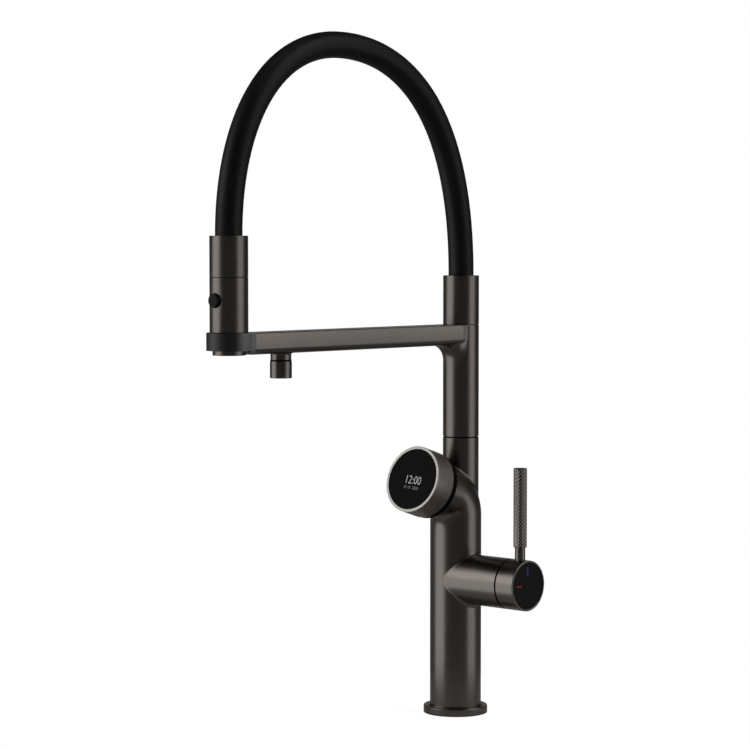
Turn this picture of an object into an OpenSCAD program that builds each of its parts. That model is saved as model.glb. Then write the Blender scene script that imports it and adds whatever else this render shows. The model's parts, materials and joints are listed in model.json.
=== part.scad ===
// Kitchen mixer tap for one worktop hole: a column with a rotary display on a bent neck, a side
// valve with a lever, and a turning upper column. Its arm carries a filtered water outlet and a
// magnetic dock for the pull-out spray, which hangs on a sprung hose arch.
// The origin is the centre of the flange's underside, on the worktop. Z is up, the arm and the
// display point to -Y, and the lever is on the +X side. All sizes are in millimetres.

/* [Base] */
// Diameter of the base flange
flange_d = 50; // [46:1:60]
// Height of the base flange
flange_h = 6; // [4:0.5:10]
// Round on the flange's top edge
flange_round = 1; // [0.4:0.1:2]
// Height of the shadow groove between flange and column
foot_groove_h = 0.6; // [0.3:0.1:1.5]
// Depth of the shadow groove
foot_groove = 0.8; // [0.3:0.1:1.5]
// Thickness of the gasket in the flange
gasket_h = 1.6; // [1:0.1:2.5]
// Width of the gasket
gasket_w = 3; // [2:0.5:4]
// Height of the threaded insert in the column's foot
insert_h = 16; // [14:0.5:24]
// Tapping diameter of the hot and cold inlets, M10x1
inlet_tap_d = 9; // [8:0.1:10]
// Depth of the tapped inlets
inlet_depth = 11; // [8:0.5:13]
// Tapping diameter of the fixing stud, M8
stud_tap_d = 6.8; // [6:0.1:7]
// Depth of the stud's thread
stud_depth = 12; // [8:0.5:13]
// Diameter of the push-in inlet for filtered water
filter_inlet_d = 6.4; // [6:0.1:7]

/* [Column] */
// Diameter of the lower column
column_d = 40; // [39:0.5:44]
// Wall of the lower column
column_wall = 3; // [2:0.25:3.25]
// Height at which the column starts to bend
bend_z = 155.2; // [150:1:175]
// Radius of the bend along its middle line
bend_r = 21; // [21:0.5:24]
// Angle of the bend from upright
neck_tilt = 72; // [66:1:78]
// Length of the straight neck behind the display
neck_l = 16; // [14:0.5:24]

/* [Valve] */
// Height of the valve's axis
valve_z = 106; // [70:1:115]
// Diameter of the valve branch and of the handle cap
valve_d = 39; // [36:0.5:39]
// Distance from the column's axis to the end of the valve branch
valve_reach = 55.8; // [54:0.5:64]
// Dark gap between branch and cap
valve_gap = 1.4; // [1:0.1:2]
// Diameter of the ceramic cartridge
cartridge_d = 25; // [22:0.5:25]
// Length of the cartridge body
cartridge_l = 23.2; // [23:0.2:25]
// Diameter of the cartridge's stem
stem_d = 8; // [6:0.5:9]

/* [Handle] */
// Length of the handle cap
cap_l = 16.6; // [14:0.5:20]
// Width of the metal rim round the black face
cap_rim = 1; // [0.8:0.1:2]
// Thickness of the black face
face_t = 1.2; // [0.8:0.1:1.6]
// Diameter of the lever's plain rod
rod_d = 8; // [6:0.5:9]
// Length of plain rod between cap and grip
rod_l = 9.6; // [6:0.5:20]
// Diameter of the knurled grip
grip_d = 9.8; // [9.4:0.1:14]
// Length of the knurled grip
grip_l = 60.8; // [40:1:80]

/* [Display] */
// Diameter of the turning sleeve
dial_d = 52; // [50:0.5:56]
// Length of the turning sleeve with its rim
dial_l = 18.5; // [18.5:0.5:24]
// Wall of the sleeve
dial_wall = 2; // [1.2:0.1:2.4]
// Length of the polished rim
rim_l = 2; // [1:0.1:3]
// Depth of the glass behind the rim's front
glass_recess = 0.7; // [0.3:0.1:1]
// Diameter of the black ring behind the sleeve
dial_ring_d = 49.5; // [46:0.5:50]
// Length of the black ring behind the sleeve
dial_ring_l = 3.2; // [2:0.1:5]

/* [Upper column] */
// Diameter of the upper column
upper_d = 28; // [27:0.5:30]
// Wall of the upper column
upper_wall = 3; // [2.4:0.1:3]
// Height of the swivel seam
seam_z = 216.1; // [214:1:240]
// Height from the seam to the top of the arm
swivel_h = 88.2; // [80:1:120]
// Length of the collar that holds the hose
collar_h = 38.1; // [34:1:60]

/* [Arm] */
// Distance between the upper column's and the spray's axes
reach = 250.45; // [220:5:280]
// Width of the arm
arm_w = 23; // [20:0.5:25]
// Height of the arm
arm_h = 15.6; // [15:0.2:18]
// Wall of the arm
arm_wall = 2.8; // [2:0.1:3]
// Round on the arm's lower edges
arm_round = 4.4; // [2:0.2:5]
// Radius of the fillet under the arm at the column
arm_fillet = 7.5; // [3:0.5:10]
// Distance from the spray's axis to the joint of arm and dock
dock_l = 15.8; // [14:0.2:22]
// Outer diameter of the dock ring
dock_d = 32.4; // [31.4:0.2:36]
// Height of the dock ring
dock_h = 12.7; // [10:0.1:14]
// Height by which the dock ring stands above the arm
dock_lift = 0.5; // [0.1:0.1:1]

/* [Outlet] */
// Distance from the spray's axis to the filtered water outlet
outlet_gap = 51.9; // [40:1:100]
// Diameter of the outlet
outlet_d = 16; // [15:0.5:20]
// Length of the outlet below its seam
outlet_l = 12.4; // [11:0.2:20]
// Length of the outlet's neck under the arm
outlet_neck_l = 5.5; // [4:0.5:10]
// Step between the outlet and its slimmer neck
outlet_step = 0.4; // [0.2:0.1:0.8]

/* [Spray] */
// Diameter of the spray head
spray_d = 27.6; // [27:0.2:30]
// Wall of the spray head
spray_wall = 2.3; // [1.6:0.1:2.3]
// Length of the spray head from the dock to its seam
spray_l = 39; // [36:1:60]
// Length of the spray's hose sleeve above the seam
sleeve_l = 29.2; // [28:0.5:40]
// Diameter of the nozzle that goes through the dock
nozzle_d = 23.6; // [23:0.1:24.4]
// Length by which the nozzle stands out below the dock ring
nozzle_out = 3.4; // [1:0.1:6]
// Diameter of the spray's button
button_d = 10.4; // [9:0.1:11]
// Height by which the button stands out
button_out = 2.5; // [2.3:0.1:4]
// Height of the button above the dock
button_up = 22.8; // [20:0.2:24]

/* [Hose] */
// Outer diameter of the hose
hose_d = 19.6; // [17:0.1:19.6]
// Wall of the hose's outer sleeve
hose_wall = 1.6; // [1:0.1:2]
// Height of the top of the arch, at the hose's middle line
arch_z = 515.3; // [480:5:560]
// Share of the reach at which the arch is highest, from the column
arch_share = 0.546; // [0.5:0.01:0.6]
// Length of hose inside each end fitting
hose_grip = 12; // [8:0.5:14]

/* [Clearances] */
// Radial gap of parts that turn or slide in each other
run_gap = 0.05; // [0.02:0.01:0.08]
// Gap of parts that are fixed in each other
fit_gap = 0.1; // [0.05:0.01:0.12]
// Gap of parts that pass without touching
free_gap = 0.3; // [0.2:0.05:0.4]

/* [Hidden] */
$fn = 96;

// Colours
gunmetal = "#5d5752";
dark_metal = "#453f3b";
polished = "#b9b4ac";
black_plastic = "#202022";
black_glass = "#0c0c0e";
rubber = "#161617";
brass = "#b5975a";
steel = "#9a9ca0";
ceramic = "#e6e2d8";
board_green = "#1f5a3c";

// Overshoot of cuts past the faces that they open
cut = 1;

// Column and its bore
column_r = column_d / 2;
bore_r = column_r - column_wall;
upper_r = upper_d / 2;
upper_bore_r = upper_r - upper_wall;
// The upper column's back stands this much inside the lower column's back
back_step = 0.15;
upper_y = column_r - upper_r - back_step;
// The upper column starts inside the bend, where the bend still covers its back
stub_sink = 2;
// The neck is turned this much slimmer than the bend, and starts this far inside it
neck_step = 0.06;
neck_overlap = 0.5;
neck_y = -bend_r * (1 - cos(neck_tilt));
neck_z = bend_z + bend_r * sin(neck_tilt);

// Foot: the inlets and the stud stand round the display cable's plug, all set back from the worktop
foot_lift = 0.5;
cable_d = 3;
plug_d = 7;
plug_floor = 2;
plug_h = insert_h - plug_floor;
inlet_x = 7;
inlet_y = 8.5;
stud_x = -6;
stud_y = -8;
filter_x = -5.4;
tube_wall = 1;
supply_d = 8;
feed_d = 6;
feed_bore_d = 3.2;
mixed_x = 6.5;
mixed_d = 8;
gasket_inset = 1.5;
gasket_r = flange_d / 2 - gasket_inset;

// Valve: from the manifold in the column outwards along X
manifold_x = 3.2;
manifold_h = 20;
manifold_neck_x = max(inlet_x + supply_d / 2, mixed_x + mixed_d / 2) + free_gap;
seal_t = 0.8;
nut_t = 6;
nut_spare = 2.9;
ring_grip = 3;
cartridge_r = cartridge_d / 2;
cartridge_end = valve_reach - ring_grip - nut_spare - nut_t;
cartridge_x = cartridge_end - cartridge_l;
seat_x = cartridge_x - seal_t;
cartridge_shell = 2;
disc_t = 4;
disc_r = cartridge_r - cartridge_shell - fit_gap;
disc_x = cartridge_x + cartridge_shell;
stem_foot_t = cartridge_l - 2 * cartridge_shell - 2 * disc_t - run_gap - free_gap;
nut_wall = 4.5;
nut_r = valve_d / 2 - nut_wall - fit_gap;
nut_bore_r = 8;
ring_step = 1.1;
valve_r = valve_d / 2;

// Handle
cap_x = valve_reach + valve_gap;
cap_end = cap_x + cap_l;
cap_hollow = 3;
cap_wall = 2.5;
face_recess = 0.4;
face_x = cap_end - face_recess - face_t;
face_floor = 1.8;
stem_end = face_x - face_floor;
lever_x = cap_x + cap_l / 2;
// The lever stands on a spot face, which is sunk a little into the round cap
spot_sink = 0.6;
lever_foot_z = valve_r - spot_sink;
lever_thread_d = 6;
lever_thread_l = 8;
grip_core_d = 5;
grip_end = 4;
grip_core_l = grip_l - grip_end;
grip_edge = 0.7;
grub_d = 5;
grub_l = 8;

// Display: lengths along the neck's axis, from the end of the bend
dial_r = dial_d / 2;
ring_w = neck_l;
sleeve_w = ring_w + dial_ring_l + free_gap;
dial_end = sleeve_w + dial_l;
rim_w = dial_end - rim_l;
glass_end = dial_end - glass_recess;
glass_t = 1.7;
glass_w = glass_end - glass_t;
glass_r = dial_r - dial_wall - free_gap;
spindle_flange = 8;
spindle_d = 24;
spindle_bore_d = 18;
bush_wall = 2;
bush_l = 5.5;
hub_inset = 1.5;
hub_w = sleeve_w + hub_inset;
hub_l = 4;
encoder_t = 1.4;
encoder_in_r = 15;
encoder_out_r = 19;
encoder_gap = 0.6;
housing_w = hub_w + hub_l + encoder_t + encoder_gap;
housing_wall = 1.5;
housing_floor = 2;
board_ledge = 1.5;
board_t = 1.5;
panel_x = 30;
panel_y = 18;

// Swivel: heights above the seam, and the spigot's waterways
washer_t = 0.6;
spigot_foot = 28;
spigot_neck = 4;
spigot_h = 24;
spigot_d = 16;
spigot_bore_d = 5.6;
cross_d = 4.6;
cross_up = 15;
bush_h = 5.5;
bush_low = 1.4;
bush_high = 14.9;
seals_up = [8.9, 12.9];
seal_d = 2.8;
snap_z = 21.9;
snap_t = 1.2;
snap_groove = 0.8;
distributor_h = 10;
swivel_z = seam_z + washer_t;
arm_top = seam_z + swivel_h;
arm_bottom = arm_top - arm_h;
spigot_top = seam_z + spigot_h;
distributor_z = spigot_top + free_gap;
distributor_top = distributor_z + distributor_h;
riser_d = 9;
riser_shift = 4;
riser_y = upper_y + riser_shift;
filtered_d = 5;
filtered_shift = 6.5;
filtered_y = upper_y - filtered_shift;
filtered_drop = 7.8;
filtered_z = arm_top - filtered_drop;

// Collar and the fitting on the column's end of the hose
collar_top = arm_top + collar_h;
collar_spigot_h = 8;
collar_spigot_wall = 1.4;
fitting_floor = 8.4;
fitting_wall = 0.8;
hose_r = hose_d / 2;

// Arm, dock and outlet
spray_y = upper_y - reach;
dock_y = spray_y + dock_l;
dock_top = arm_top + dock_lift;
dock_bottom = dock_top - dock_h;
dock_sink = 0.3;
nozzle_r = nozzle_d / 2;
nozzle_gap = 0.5;
dock_bore_r = nozzle_r + nozzle_gap;
tongue_l = 10;
magnet_wall = 0.9;
magnet_h = 5;
outlet_y = spray_y + outlet_gap;
outlet_hole_d = 10;
outlet_spigot_h = 4.8;
outlet_seal_t = 0.4;
outlet_seam = arm_bottom - outlet_neck_l;
outlet_wall = 1.4;
outlet_fillet = 1.4;
outlet_bore_d = 4;
aerator_h = 6;
aerator_recess = 0.5;
aerator_holes = 12;
aerator_hole_d = 1.2;
aerator_share = 0.65;

// Spray: heights from the dock's top
spray_r = spray_d / 2;
dock_gap = 0.2;
spray_z = dock_top + dock_gap;
spray_seam = spray_z + spray_l;
seam_gap = 0.4;
sleeve_z = spray_seam + seam_gap;
sleeve_top = sleeve_z + sleeve_l;
nozzle_z = dock_bottom - nozzle_out;
nozzle_wall = 1.5;
spray_bore_r = spray_r - spray_wall;
nozzle_bore_r = nozzle_r - nozzle_wall;
jets_t = 3.2;
jets_recess = 0.5;
jet_d = 1.4;
jet_rings = 3;
insert_relief = 0.9;
insert_slim_r = nozzle_bore_r - insert_relief;
insert_step = 14;
insert_step_z = spray_z + insert_step;
insert_sink = 2.5;
insert_top = spray_seam - insert_sink;
waterway_d = 6;
nipple_d = 10;
nipple_l = 5;
nipple_z = insert_top - nipple_l;
lip_t = 2.7;
spray_magnet_h = 3.5;

// Button: distances from the spray's axis towards -Y
button_z = spray_z + button_up;
button_r = button_d / 2;
button_tip = spray_r + button_out;
button_back = 9.4;
button_dome = 2.1;
button_cup_depth = 3;
button_cup_d = 8;
button_travel = 2;
pocket_spare = 0.9;
pocket_floor = button_back - button_travel - pocket_spare;
spindle_rod_d = 4;
spindle_rod_end = -6;
spring_r = 3.1;
spring_wire_d = 0.6;
spring_turns = 4;
spring_steps = 12;
spring_sides = 6;
spring_slack = 0.2;
spring_l = button_back + button_cup_depth - button_travel - spring_slack - pocket_floor;

// Hose: two Bezier arcs that meet level at the top of the arch
hose_sides = 24;
hose_rings = 18;
tube_sides = 12;
arch_y = upper_y - reach * arch_share;
column_rise_share = 0.69;
column_level_share = 0.57;
spray_rise_share = 0.59;
spray_level_share = 0.61;
hose_spring_t = 1;
inner_tube_d = 13;
inner_tube_wall = 1.5;

function bezier(a, b, c, d, t) =
    pow(1 - t, 3) * a + 3 * pow(1 - t, 2) * t * b + 3 * (1 - t) * t * t * c + pow(t, 3) * d;

// One arc of the arch as [y, z] points, from its foot up to the top
function arch_half(foot, rise, level) = [
    for (i = [0 : hose_rings])
        bezier(
            foot,
            [foot[0], foot[1] + rise * (arch_z - foot[1])],
            [arch_y + level * (foot[0] - arch_y), arch_z],
            [arch_y, arch_z],
            i / hose_rings
        )
];

column_half = arch_half([upper_y, collar_top], column_rise_share, column_level_share);
spray_half = arch_half([spray_y, sleeve_top], spray_rise_share, spray_level_share);
hose_path = concat(
    [[upper_y, collar_top - hose_grip]],
    column_half,
    [for (i = [hose_rings - 1 : -1 : 0]) spray_half[i]],
    [[spray_y, sleeve_top - hose_grip]]
);

// Direction of a [y, z] path at point i
function heading(path, i) =
    let (
        a = path[max(i - 1, 0)],
        b = path[min(i + 1, len(path) - 1)],
        step = i == 0 || i == len(path) - 1 ? [0, b[1] - a[1]] : b - a
    )
    step / norm(step);

// Triangles of a tube: n sides, m rings of outer points, then as many of inner points
function tube_faces(n, m) = concat(
    [for (k = [0 : m - 2], j = [0 : n - 1]) [k * n + j, (k + 1) * n + j, k * n + (j + 1) % n]],
    [
        for (k = [0 : m - 2], j = [0 : n - 1])
            [(k + 1) * n + j, (k + 1) * n + (j + 1) % n, k * n + (j + 1) % n]
    ],
    [
        for (k = [0 : m - 2], j = [0 : n - 1])
            [m * n + k * n + j, m * n + k * n + (j + 1) % n, m * n + (k + 1) * n + j]
    ],
    [
        for (k = [0 : m - 2], j = [0 : n - 1])
            [
                m * n + (k + 1) * n + j, m * n + k * n + (j + 1) % n,
                m * n + (k + 1) * n + (j + 1) % n
            ]
    ],
    [for (j = [0 : n - 1]) [j, (j + 1) % n, m * n + j]],
    [for (j = [0 : n - 1]) [(j + 1) % n, m * n + (j + 1) % n, m * n + j]],
    [for (j = [0 : n - 1]) [(m - 1) * n + j, 2 * m * n - n + j, (m - 1) * n + (j + 1) % n]],
    [
        for (j = [0 : n - 1])
            [
                (m - 1) * n + (j + 1) % n, 2 * m * n - n + j,
                2 * m * n - n + (j + 1) % n
            ]
    ]
);

// A hollow tube along a path in the YZ plane
module arch_tube(path, r_out, r_in, sides) {
    m = len(path);
    points = [
        for (r = [r_out, r_in], k = [0 : m - 1], j = [0 : sides - 1])
            let (dir = heading(path, k), turn = 360 * j / sides, side = r * cos(turn))
            [side, path[k][0] - r * sin(turn) * dir[1], path[k][1] + r * sin(turn) * dir[0]]
    ];
    polyhedron(points = points, faces = tube_faces(sides, m));
}

// A coil of round wire round Z, standing on z = 0
module coil(r, wire_r, turns, length) {
    count = turns * spring_steps;
    pitch = (length - 2 * wire_r) / turns;
    points = concat(
        [
            for (k = [0 : count], j = [0 : spring_sides - 1])
                let (
                    turn = 360 * k / spring_steps,
                    around = 360 * j / spring_sides,
                    out = r + wire_r * cos(around),
                    up = wire_r + pitch * k / spring_steps + wire_r * sin(around)
                )
                [out * cos(turn), out * sin(turn), up]
        ]
    );
    n = spring_sides;
    faces = concat(
        [for (k = [0 : count - 1], j = [0 : n - 1]) [k * n + j, k * n + (j + 1) % n, (k + 1) * n + j]],
        [
            for (k = [0 : count - 1], j = [0 : n - 1])
                [(k + 1) * n + j, k * n + (j + 1) % n, (k + 1) * n + (j + 1) % n]
        ],
        [for (j = [1 : n - 2]) [0, j + 1, j]],
        [for (j = [1 : n - 2]) [count * n, count * n + j, count * n + j + 1]]
    );
    polyhedron(points = points, faces = faces);
}

// A plain ring or tube that stands on z = 0
module ring(r_out, r_in, h) {
    difference() {
        cylinder(r = r_out, h = h);
        translate([0, 0, -cut]) cylinder(r = r_in, h = h + 2 * cut);
    }
}

// A disc whose top edge is rounded
module round_disc(r, h, edge) {
    rotate_extrude() {
        square([r - edge, h]);
        square([r, h - edge]);
        translate([r - edge, h - edge]) circle(r = edge);
    }
}

// Places
module on_valve(x) {
    translate([x, 0, valve_z]) rotate([0, 90, 0]) children();
}

module on_neck(w) {
    translate([0, neck_y, neck_z]) rotate([neck_tilt, 0, 0]) translate([0, 0, w]) children();
}

module on_upper(z) {
    translate([0, upper_y, z]) children();
}

module on_spray(z) {
    translate([0, spray_y, z]) children();
}

// Local Z points out of the spray towards -Y
module on_button(out) {
    translate([0, spray_y - out, button_z]) rotate([90, 0, 0]) children();
}

// Column, bend and neck as one run of radius r, which starts at height z
module column_run(r, z, end) {
    translate([0, 0, z]) cylinder(r = r, h = bend_z - z);
    translate([0, -bend_r, bend_z])
        rotate([90, 0, 90])
            rotate_extrude(angle = neck_tilt) translate([bend_r, 0]) circle(r = r);
    on_neck(-neck_overlap) cylinder(r = r - neck_step, h = end + neck_overlap);
}

// Base

module base_flange() {
    color(gunmetal)
        difference() {
            round_disc(flange_d / 2, flange_h, flange_round);
            translate([0, 0, -cut]) cylinder(r = bore_r, h = flange_h + 2 * cut);
            translate([0, 0, -cut]) ring(gasket_r, gasket_r - gasket_w, gasket_h + cut);
        }
}

module base_gasket() {
    color(rubber) ring(gasket_r - fit_gap, gasket_r - gasket_w + fit_gap, gasket_h);
}

module base_insert() {
    color(brass)
        difference() {
            translate([0, 0, foot_lift]) cylinder(r = bore_r - fit_gap, h = insert_h - foot_lift);
            for (side = [-1, 1]) {
                translate([inlet_x, side * inlet_y, foot_lift - cut]) {
                    cylinder(d = inlet_tap_d, h = inlet_depth + cut);
                    cylinder(d = supply_d - 2 * tube_wall, h = insert_h + 2 * cut);
                }
            }
            translate([filter_x, upper_y, foot_lift - cut]) {
                cylinder(d = filter_inlet_d, h = inlet_depth + cut);
                cylinder(d = feed_bore_d, h = insert_h + 2 * cut);
            }
            translate([stud_x, stud_y, foot_lift - cut])
                cylinder(d = stud_tap_d, h = stud_depth + cut);
            translate([0, 0, -cut]) cylinder(d = plug_d + 2 * fit_gap, h = plug_h + cut);
            translate([0, 0, -cut]) cylinder(d = cable_d + 2 * free_gap, h = insert_h + 2 * cut);
        }
}

module main_body() {
    color(gunmetal)
        difference() {
            union() {
                translate([0, 0, flange_h])
                    cylinder(r = column_r - foot_groove, h = foot_groove_h + cut);
                column_run(column_r, flange_h + foot_groove_h, neck_l);
                on_upper(bend_z + stub_sink)
                    cylinder(r = upper_r, h = seam_z - bend_z - stub_sink);
                on_valve(0) cylinder(r = valve_r, h = valve_reach);
            }
            union() {
                column_run(bore_r, 0, neck_l + cut);
                on_upper(bend_z) cylinder(r = upper_bore_r, h = seam_z - bend_z + cut);
                on_valve(0) cylinder(r = cartridge_r + fit_gap, h = cartridge_end);
                on_valve(cartridge_end)
                    cylinder(r = nut_r + fit_gap, h = valve_reach - cartridge_end + cut);
            }
        }
}

// Pipes in the column

module supply_tubes() {
    color(brass)
        for (side = [-1, 1])
            translate([inlet_x, side * inlet_y, insert_h])
                ring(supply_d / 2, supply_d / 2 - tube_wall, valve_z - manifold_h / 2 - insert_h);
}

module mixed_tube() {
    bottom = valve_z + manifold_h / 2;
    color(brass)
        translate([mixed_x, upper_y, bottom])
            ring(mixed_d / 2, mixed_d / 2 - tube_wall, seam_z - spigot_foot - bottom);
}

module filtered_feed_tube() {
    color(black_plastic)
        translate([filter_x, upper_y, insert_h])
            ring(feed_d / 2, feed_bore_d / 2, seam_z - spigot_foot - insert_h);
}

// Valve

module valve_manifold() {
    depth = 6;
    color(brass)
        difference() {
            union() {
                intersection() {
                    translate([0, 0, valve_z - manifold_h / 2])
                        cylinder(r = bore_r - fit_gap, h = manifold_h);
                    translate([manifold_x, -bore_r, valve_z - manifold_h / 2])
                        cube([bore_r, 2 * bore_r, manifold_h]);
                }
                on_valve(manifold_neck_x) cylinder(r = cartridge_r, h = seat_x - manifold_neck_x);
            }
            on_valve(seat_x) cylinder(r = cartridge_r + fit_gap, h = cartridge_l);
            for (side = [-1, 1]) {
                translate([inlet_x, side * inlet_y, valve_z - manifold_h / 2 - cut])
                    cylinder(d = supply_d - 2 * tube_wall, h = depth + cut);
                translate([inlet_x, side * disc_r / 2, valve_z])
                    rotate([0, 90, 0]) cylinder(d = waterway_d / 2, h = seat_x);
            }
            translate([mixed_x, upper_y, valve_z + manifold_h / 2 - depth])
                cylinder(d = mixed_d - 2 * tube_wall, h = depth + cut);
        }
}

module cartridge_body() {
    cavity = cartridge_l - 2 * cartridge_shell;
    color(steel)
        difference() {
            on_valve(cartridge_x) cylinder(r = cartridge_r, h = cartridge_l);
            on_valve(disc_x) cylinder(r = disc_r + fit_gap, h = cavity);
            on_valve(disc_x) cylinder(r = stem_d / 2 + run_gap, h = cartridge_l);
            for (side = [-1, 1])
                translate([cartridge_x - cut, side * disc_r / 2, valve_z])
                    rotate([0, 90, 0]) cylinder(d = waterway_d / 2, h = cartridge_shell + 2 * cut);
        }
}

module cartridge_seal() {
    width = 2;
    color(rubber) on_valve(seat_x) ring(cartridge_r, cartridge_r - width, seal_t);
}

module ceramic_disc_fixed() {
    color(ceramic)
        difference() {
            on_valve(disc_x) cylinder(r = disc_r, h = disc_t);
            for (side = [-1, 1])
                translate([disc_x - cut, side * disc_r / 2, valve_z])
                    rotate([0, 90, 0]) cylinder(d = waterway_d / 2, h = disc_t + 2 * cut);
        }
}

module ceramic_disc_turning() {
    color(ceramic)
        on_valve(disc_x + disc_t + run_gap) cylinder(r = disc_r - run_gap, h = disc_t);
}

module cartridge_stem() {
    foot_x = disc_x + 2 * disc_t + run_gap;
    color(brass) {
        on_valve(foot_x) cylinder(r = disc_r - run_gap, h = stem_foot_t);
        on_valve(foot_x + stem_foot_t) cylinder(d = stem_d, h = stem_end - foot_x - stem_foot_t);
    }
}

module cartridge_nut() {
    color(brass)
        difference() {
            on_valve(cartridge_end) cylinder(r = nut_r, h = nut_t);
            on_valve(cartridge_end - cut) cylinder(r = nut_bore_r, h = nut_t + 2 * cut);
        }
}

module handle_gap_ring() {
    color(black_plastic)
        difference() {
            union() {
                on_valve(valve_reach - ring_grip) cylinder(r = nut_r, h = ring_grip);
                on_valve(valve_reach) cylinder(r = valve_r - ring_step, h = valve_gap - free_gap);
            }
            on_valve(valve_reach - ring_grip - cut)
                cylinder(r = nut_bore_r, h = ring_grip + valve_gap + 2 * cut);
        }
}

module handle_cap() {
    color(gunmetal)
        difference() {
            on_valve(cap_x) cylinder(r = valve_r, h = cap_l);
            on_valve(cap_x - cut) cylinder(r = valve_r - cap_wall, h = cap_hollow + cut);
            on_valve(cap_x) cylinder(r = stem_d / 2 + run_gap, h = stem_end - cap_x);
            on_valve(face_x) cylinder(r = valve_r - cap_rim, h = cap_l);
            translate([lever_x, 0, valve_z + lever_foot_z])
                cylinder(d = rod_d + 2 * fit_gap, h = valve_r);
            translate([lever_x, 0, valve_z + lever_foot_z - lever_thread_l])
                cylinder(d = lever_thread_d + 2 * fit_gap, h = valve_r);
            translate([lever_x, 0, valve_z - valve_r - cut])
                cylinder(d = grub_d + 2 * fit_gap, h = valve_r + cut);
        }
}

module handle_face() {
    color(black_glass)
        on_valve(face_x) cylinder(r = valve_r - cap_rim - fit_gap, h = face_t);
}

module handle_grub_screw() {
    key_d = 2.5;
    top = valve_z - stem_d / 2 - fit_gap;
    color(steel)
        translate([lever_x, 0, top - grub_l])
            difference() {
                cylinder(d = grub_d, h = grub_l);
                translate([0, 0, -cut]) cylinder(d = key_d, h = key_d + cut, $fn = 6);
            }
}

module lever_rod() {
    color(gunmetal)
        translate([lever_x, 0, valve_z + lever_foot_z]) {
            translate([0, 0, fit_gap - lever_thread_l])
                cylinder(d = lever_thread_d, h = lever_thread_l);
            cylinder(d = rod_d, h = rod_l + spot_sink);
            cylinder(d = grip_core_d, h = rod_l + spot_sink + grip_core_l);
        }
}

module lever_grip() {
    grip_r = grip_d / 2;
    bottom = valve_z + valve_r + rod_l;
    color(dark_metal)
        translate([lever_x, 0, bottom])
            rotate_extrude()
                polygon([
                    [grip_core_d / 2 + fit_gap, 0],
                    [grip_r - grip_edge, 0],
                    [grip_r, grip_edge],
                    [grip_r, grip_l - grip_edge],
                    [grip_r - grip_edge, grip_l],
                    [0, grip_l],
                    [0, grip_core_l + fit_gap],
                    [grip_core_d / 2 + fit_gap, grip_core_l + fit_gap]
                ]);
}

// Display

module display_cable() {
    board_w = housing_w + housing_floor + board_ledge;
    color(rubber) {
        column_run(cable_d / 2, plug_h, board_w);
        translate([0, 0, foot_lift]) cylinder(d = plug_d, h = plug_h - foot_lift);
    }
}

module dial_spindle() {
    color(steel)
        difference() {
            union() {
                on_neck(ring_w - spindle_flange) cylinder(r = bore_r - fit_gap, h = spindle_flange);
                on_neck(ring_w) cylinder(d = spindle_d, h = housing_w - ring_w);
            }
            on_neck(0) cylinder(d = spindle_bore_d, h = dial_end);
        }
}

module dial_gap_ring() {
    color(black_plastic)
        on_neck(ring_w) ring(dial_ring_d / 2, spindle_d / 2 + fit_gap, dial_ring_l);
}

module dial_bush() {
    color(black_plastic)
        on_neck(hub_w - (bush_l - hub_l) / 2)
            ring(spindle_d / 2 + fit_gap + bush_wall, spindle_d / 2 + fit_gap, bush_l);
}

module dial_sleeve() {
    hub_bore_r = spindle_d / 2 + fit_gap + bush_wall + run_gap;
    color(gunmetal) {
        on_neck(sleeve_w) ring(dial_r, dial_r - dial_wall, dial_l - rim_l);
        on_neck(hub_w) ring(dial_r - dial_wall / 2, hub_bore_r, hub_l);
    }
}

module dial_rim() {
    inner = dial_r - dial_wall;
    chamfer = rim_l / 4;
    color(polished)
        on_neck(rim_w)
            rotate_extrude()
                polygon([
                    [inner, 0],
                    [dial_r, 0],
                    [dial_r, rim_l - chamfer],
                    [dial_r - chamfer, rim_l],
                    [inner + chamfer, rim_l],
                    [inner, rim_l - chamfer]
                ]);
}

module dial_encoder_ring() {
    color(steel) on_neck(hub_w + hub_l) ring(encoder_out_r, encoder_in_r, encoder_t);
}

module display_housing() {
    ledge = 2;
    length = glass_w - housing_w;
    color(black_plastic)
        on_neck(housing_w)
            difference() {
                cylinder(r = glass_r, h = length);
                translate([0, 0, housing_floor + board_ledge])
                    cylinder(r = glass_r - housing_wall, h = length);
                translate([0, 0, housing_floor])
                    cylinder(r = glass_r - housing_wall - ledge, h = length);
                translate([0, 0, -cut]) cylinder(d = cable_d + 2 * free_gap, h = length);
            }
}

module display_board() {
    color(board_green)
        on_neck(housing_w + housing_floor + board_ledge)
            cylinder(r = glass_r - housing_wall - fit_gap, h = board_t);
}

module display_panel() {
    start = housing_w + housing_floor + board_ledge + board_t;
    color(black_glass)
        on_neck(start)
            translate([-panel_x / 2, -panel_y / 2, 0]) cube([panel_x, panel_y, glass_w - start]);
}

module display_glass() {
    color(black_glass) on_neck(glass_w) cylinder(r = glass_r, h = glass_t);
}

// Swivel joint

module swivel_spigot() {
    foot_z = seam_z - spigot_foot;
    color(brass)
        difference() {
            union() {
                on_upper(foot_z) cylinder(r = upper_bore_r - fit_gap, h = spigot_foot - spigot_neck);
                on_upper(foot_z) cylinder(d = spigot_d, h = spigot_foot + spigot_h);
            }
            translate([mixed_x, upper_y, foot_z - cut])
                cylinder(d = mixed_d - 2 * tube_wall, h = cross_up + cut);
            translate([0, upper_y, foot_z + cross_up - spigot_bore_d / 2])
                rotate([0, 90, 0]) cylinder(d = cross_d, h = mixed_x);
            on_upper(foot_z + cross_up - spigot_bore_d)
                cylinder(d = spigot_bore_d, h = spigot_foot + spigot_h);
            translate([filter_x, upper_y, foot_z - cut])
                cylinder(d = feed_bore_d, h = spigot_foot + spigot_h + 2 * cut);
            on_upper(seam_z + snap_z - fit_gap)
                ring(spigot_d / 2 + cut, spigot_d / 2 - snap_groove, snap_t + 2 * fit_gap);
        }
}

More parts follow.
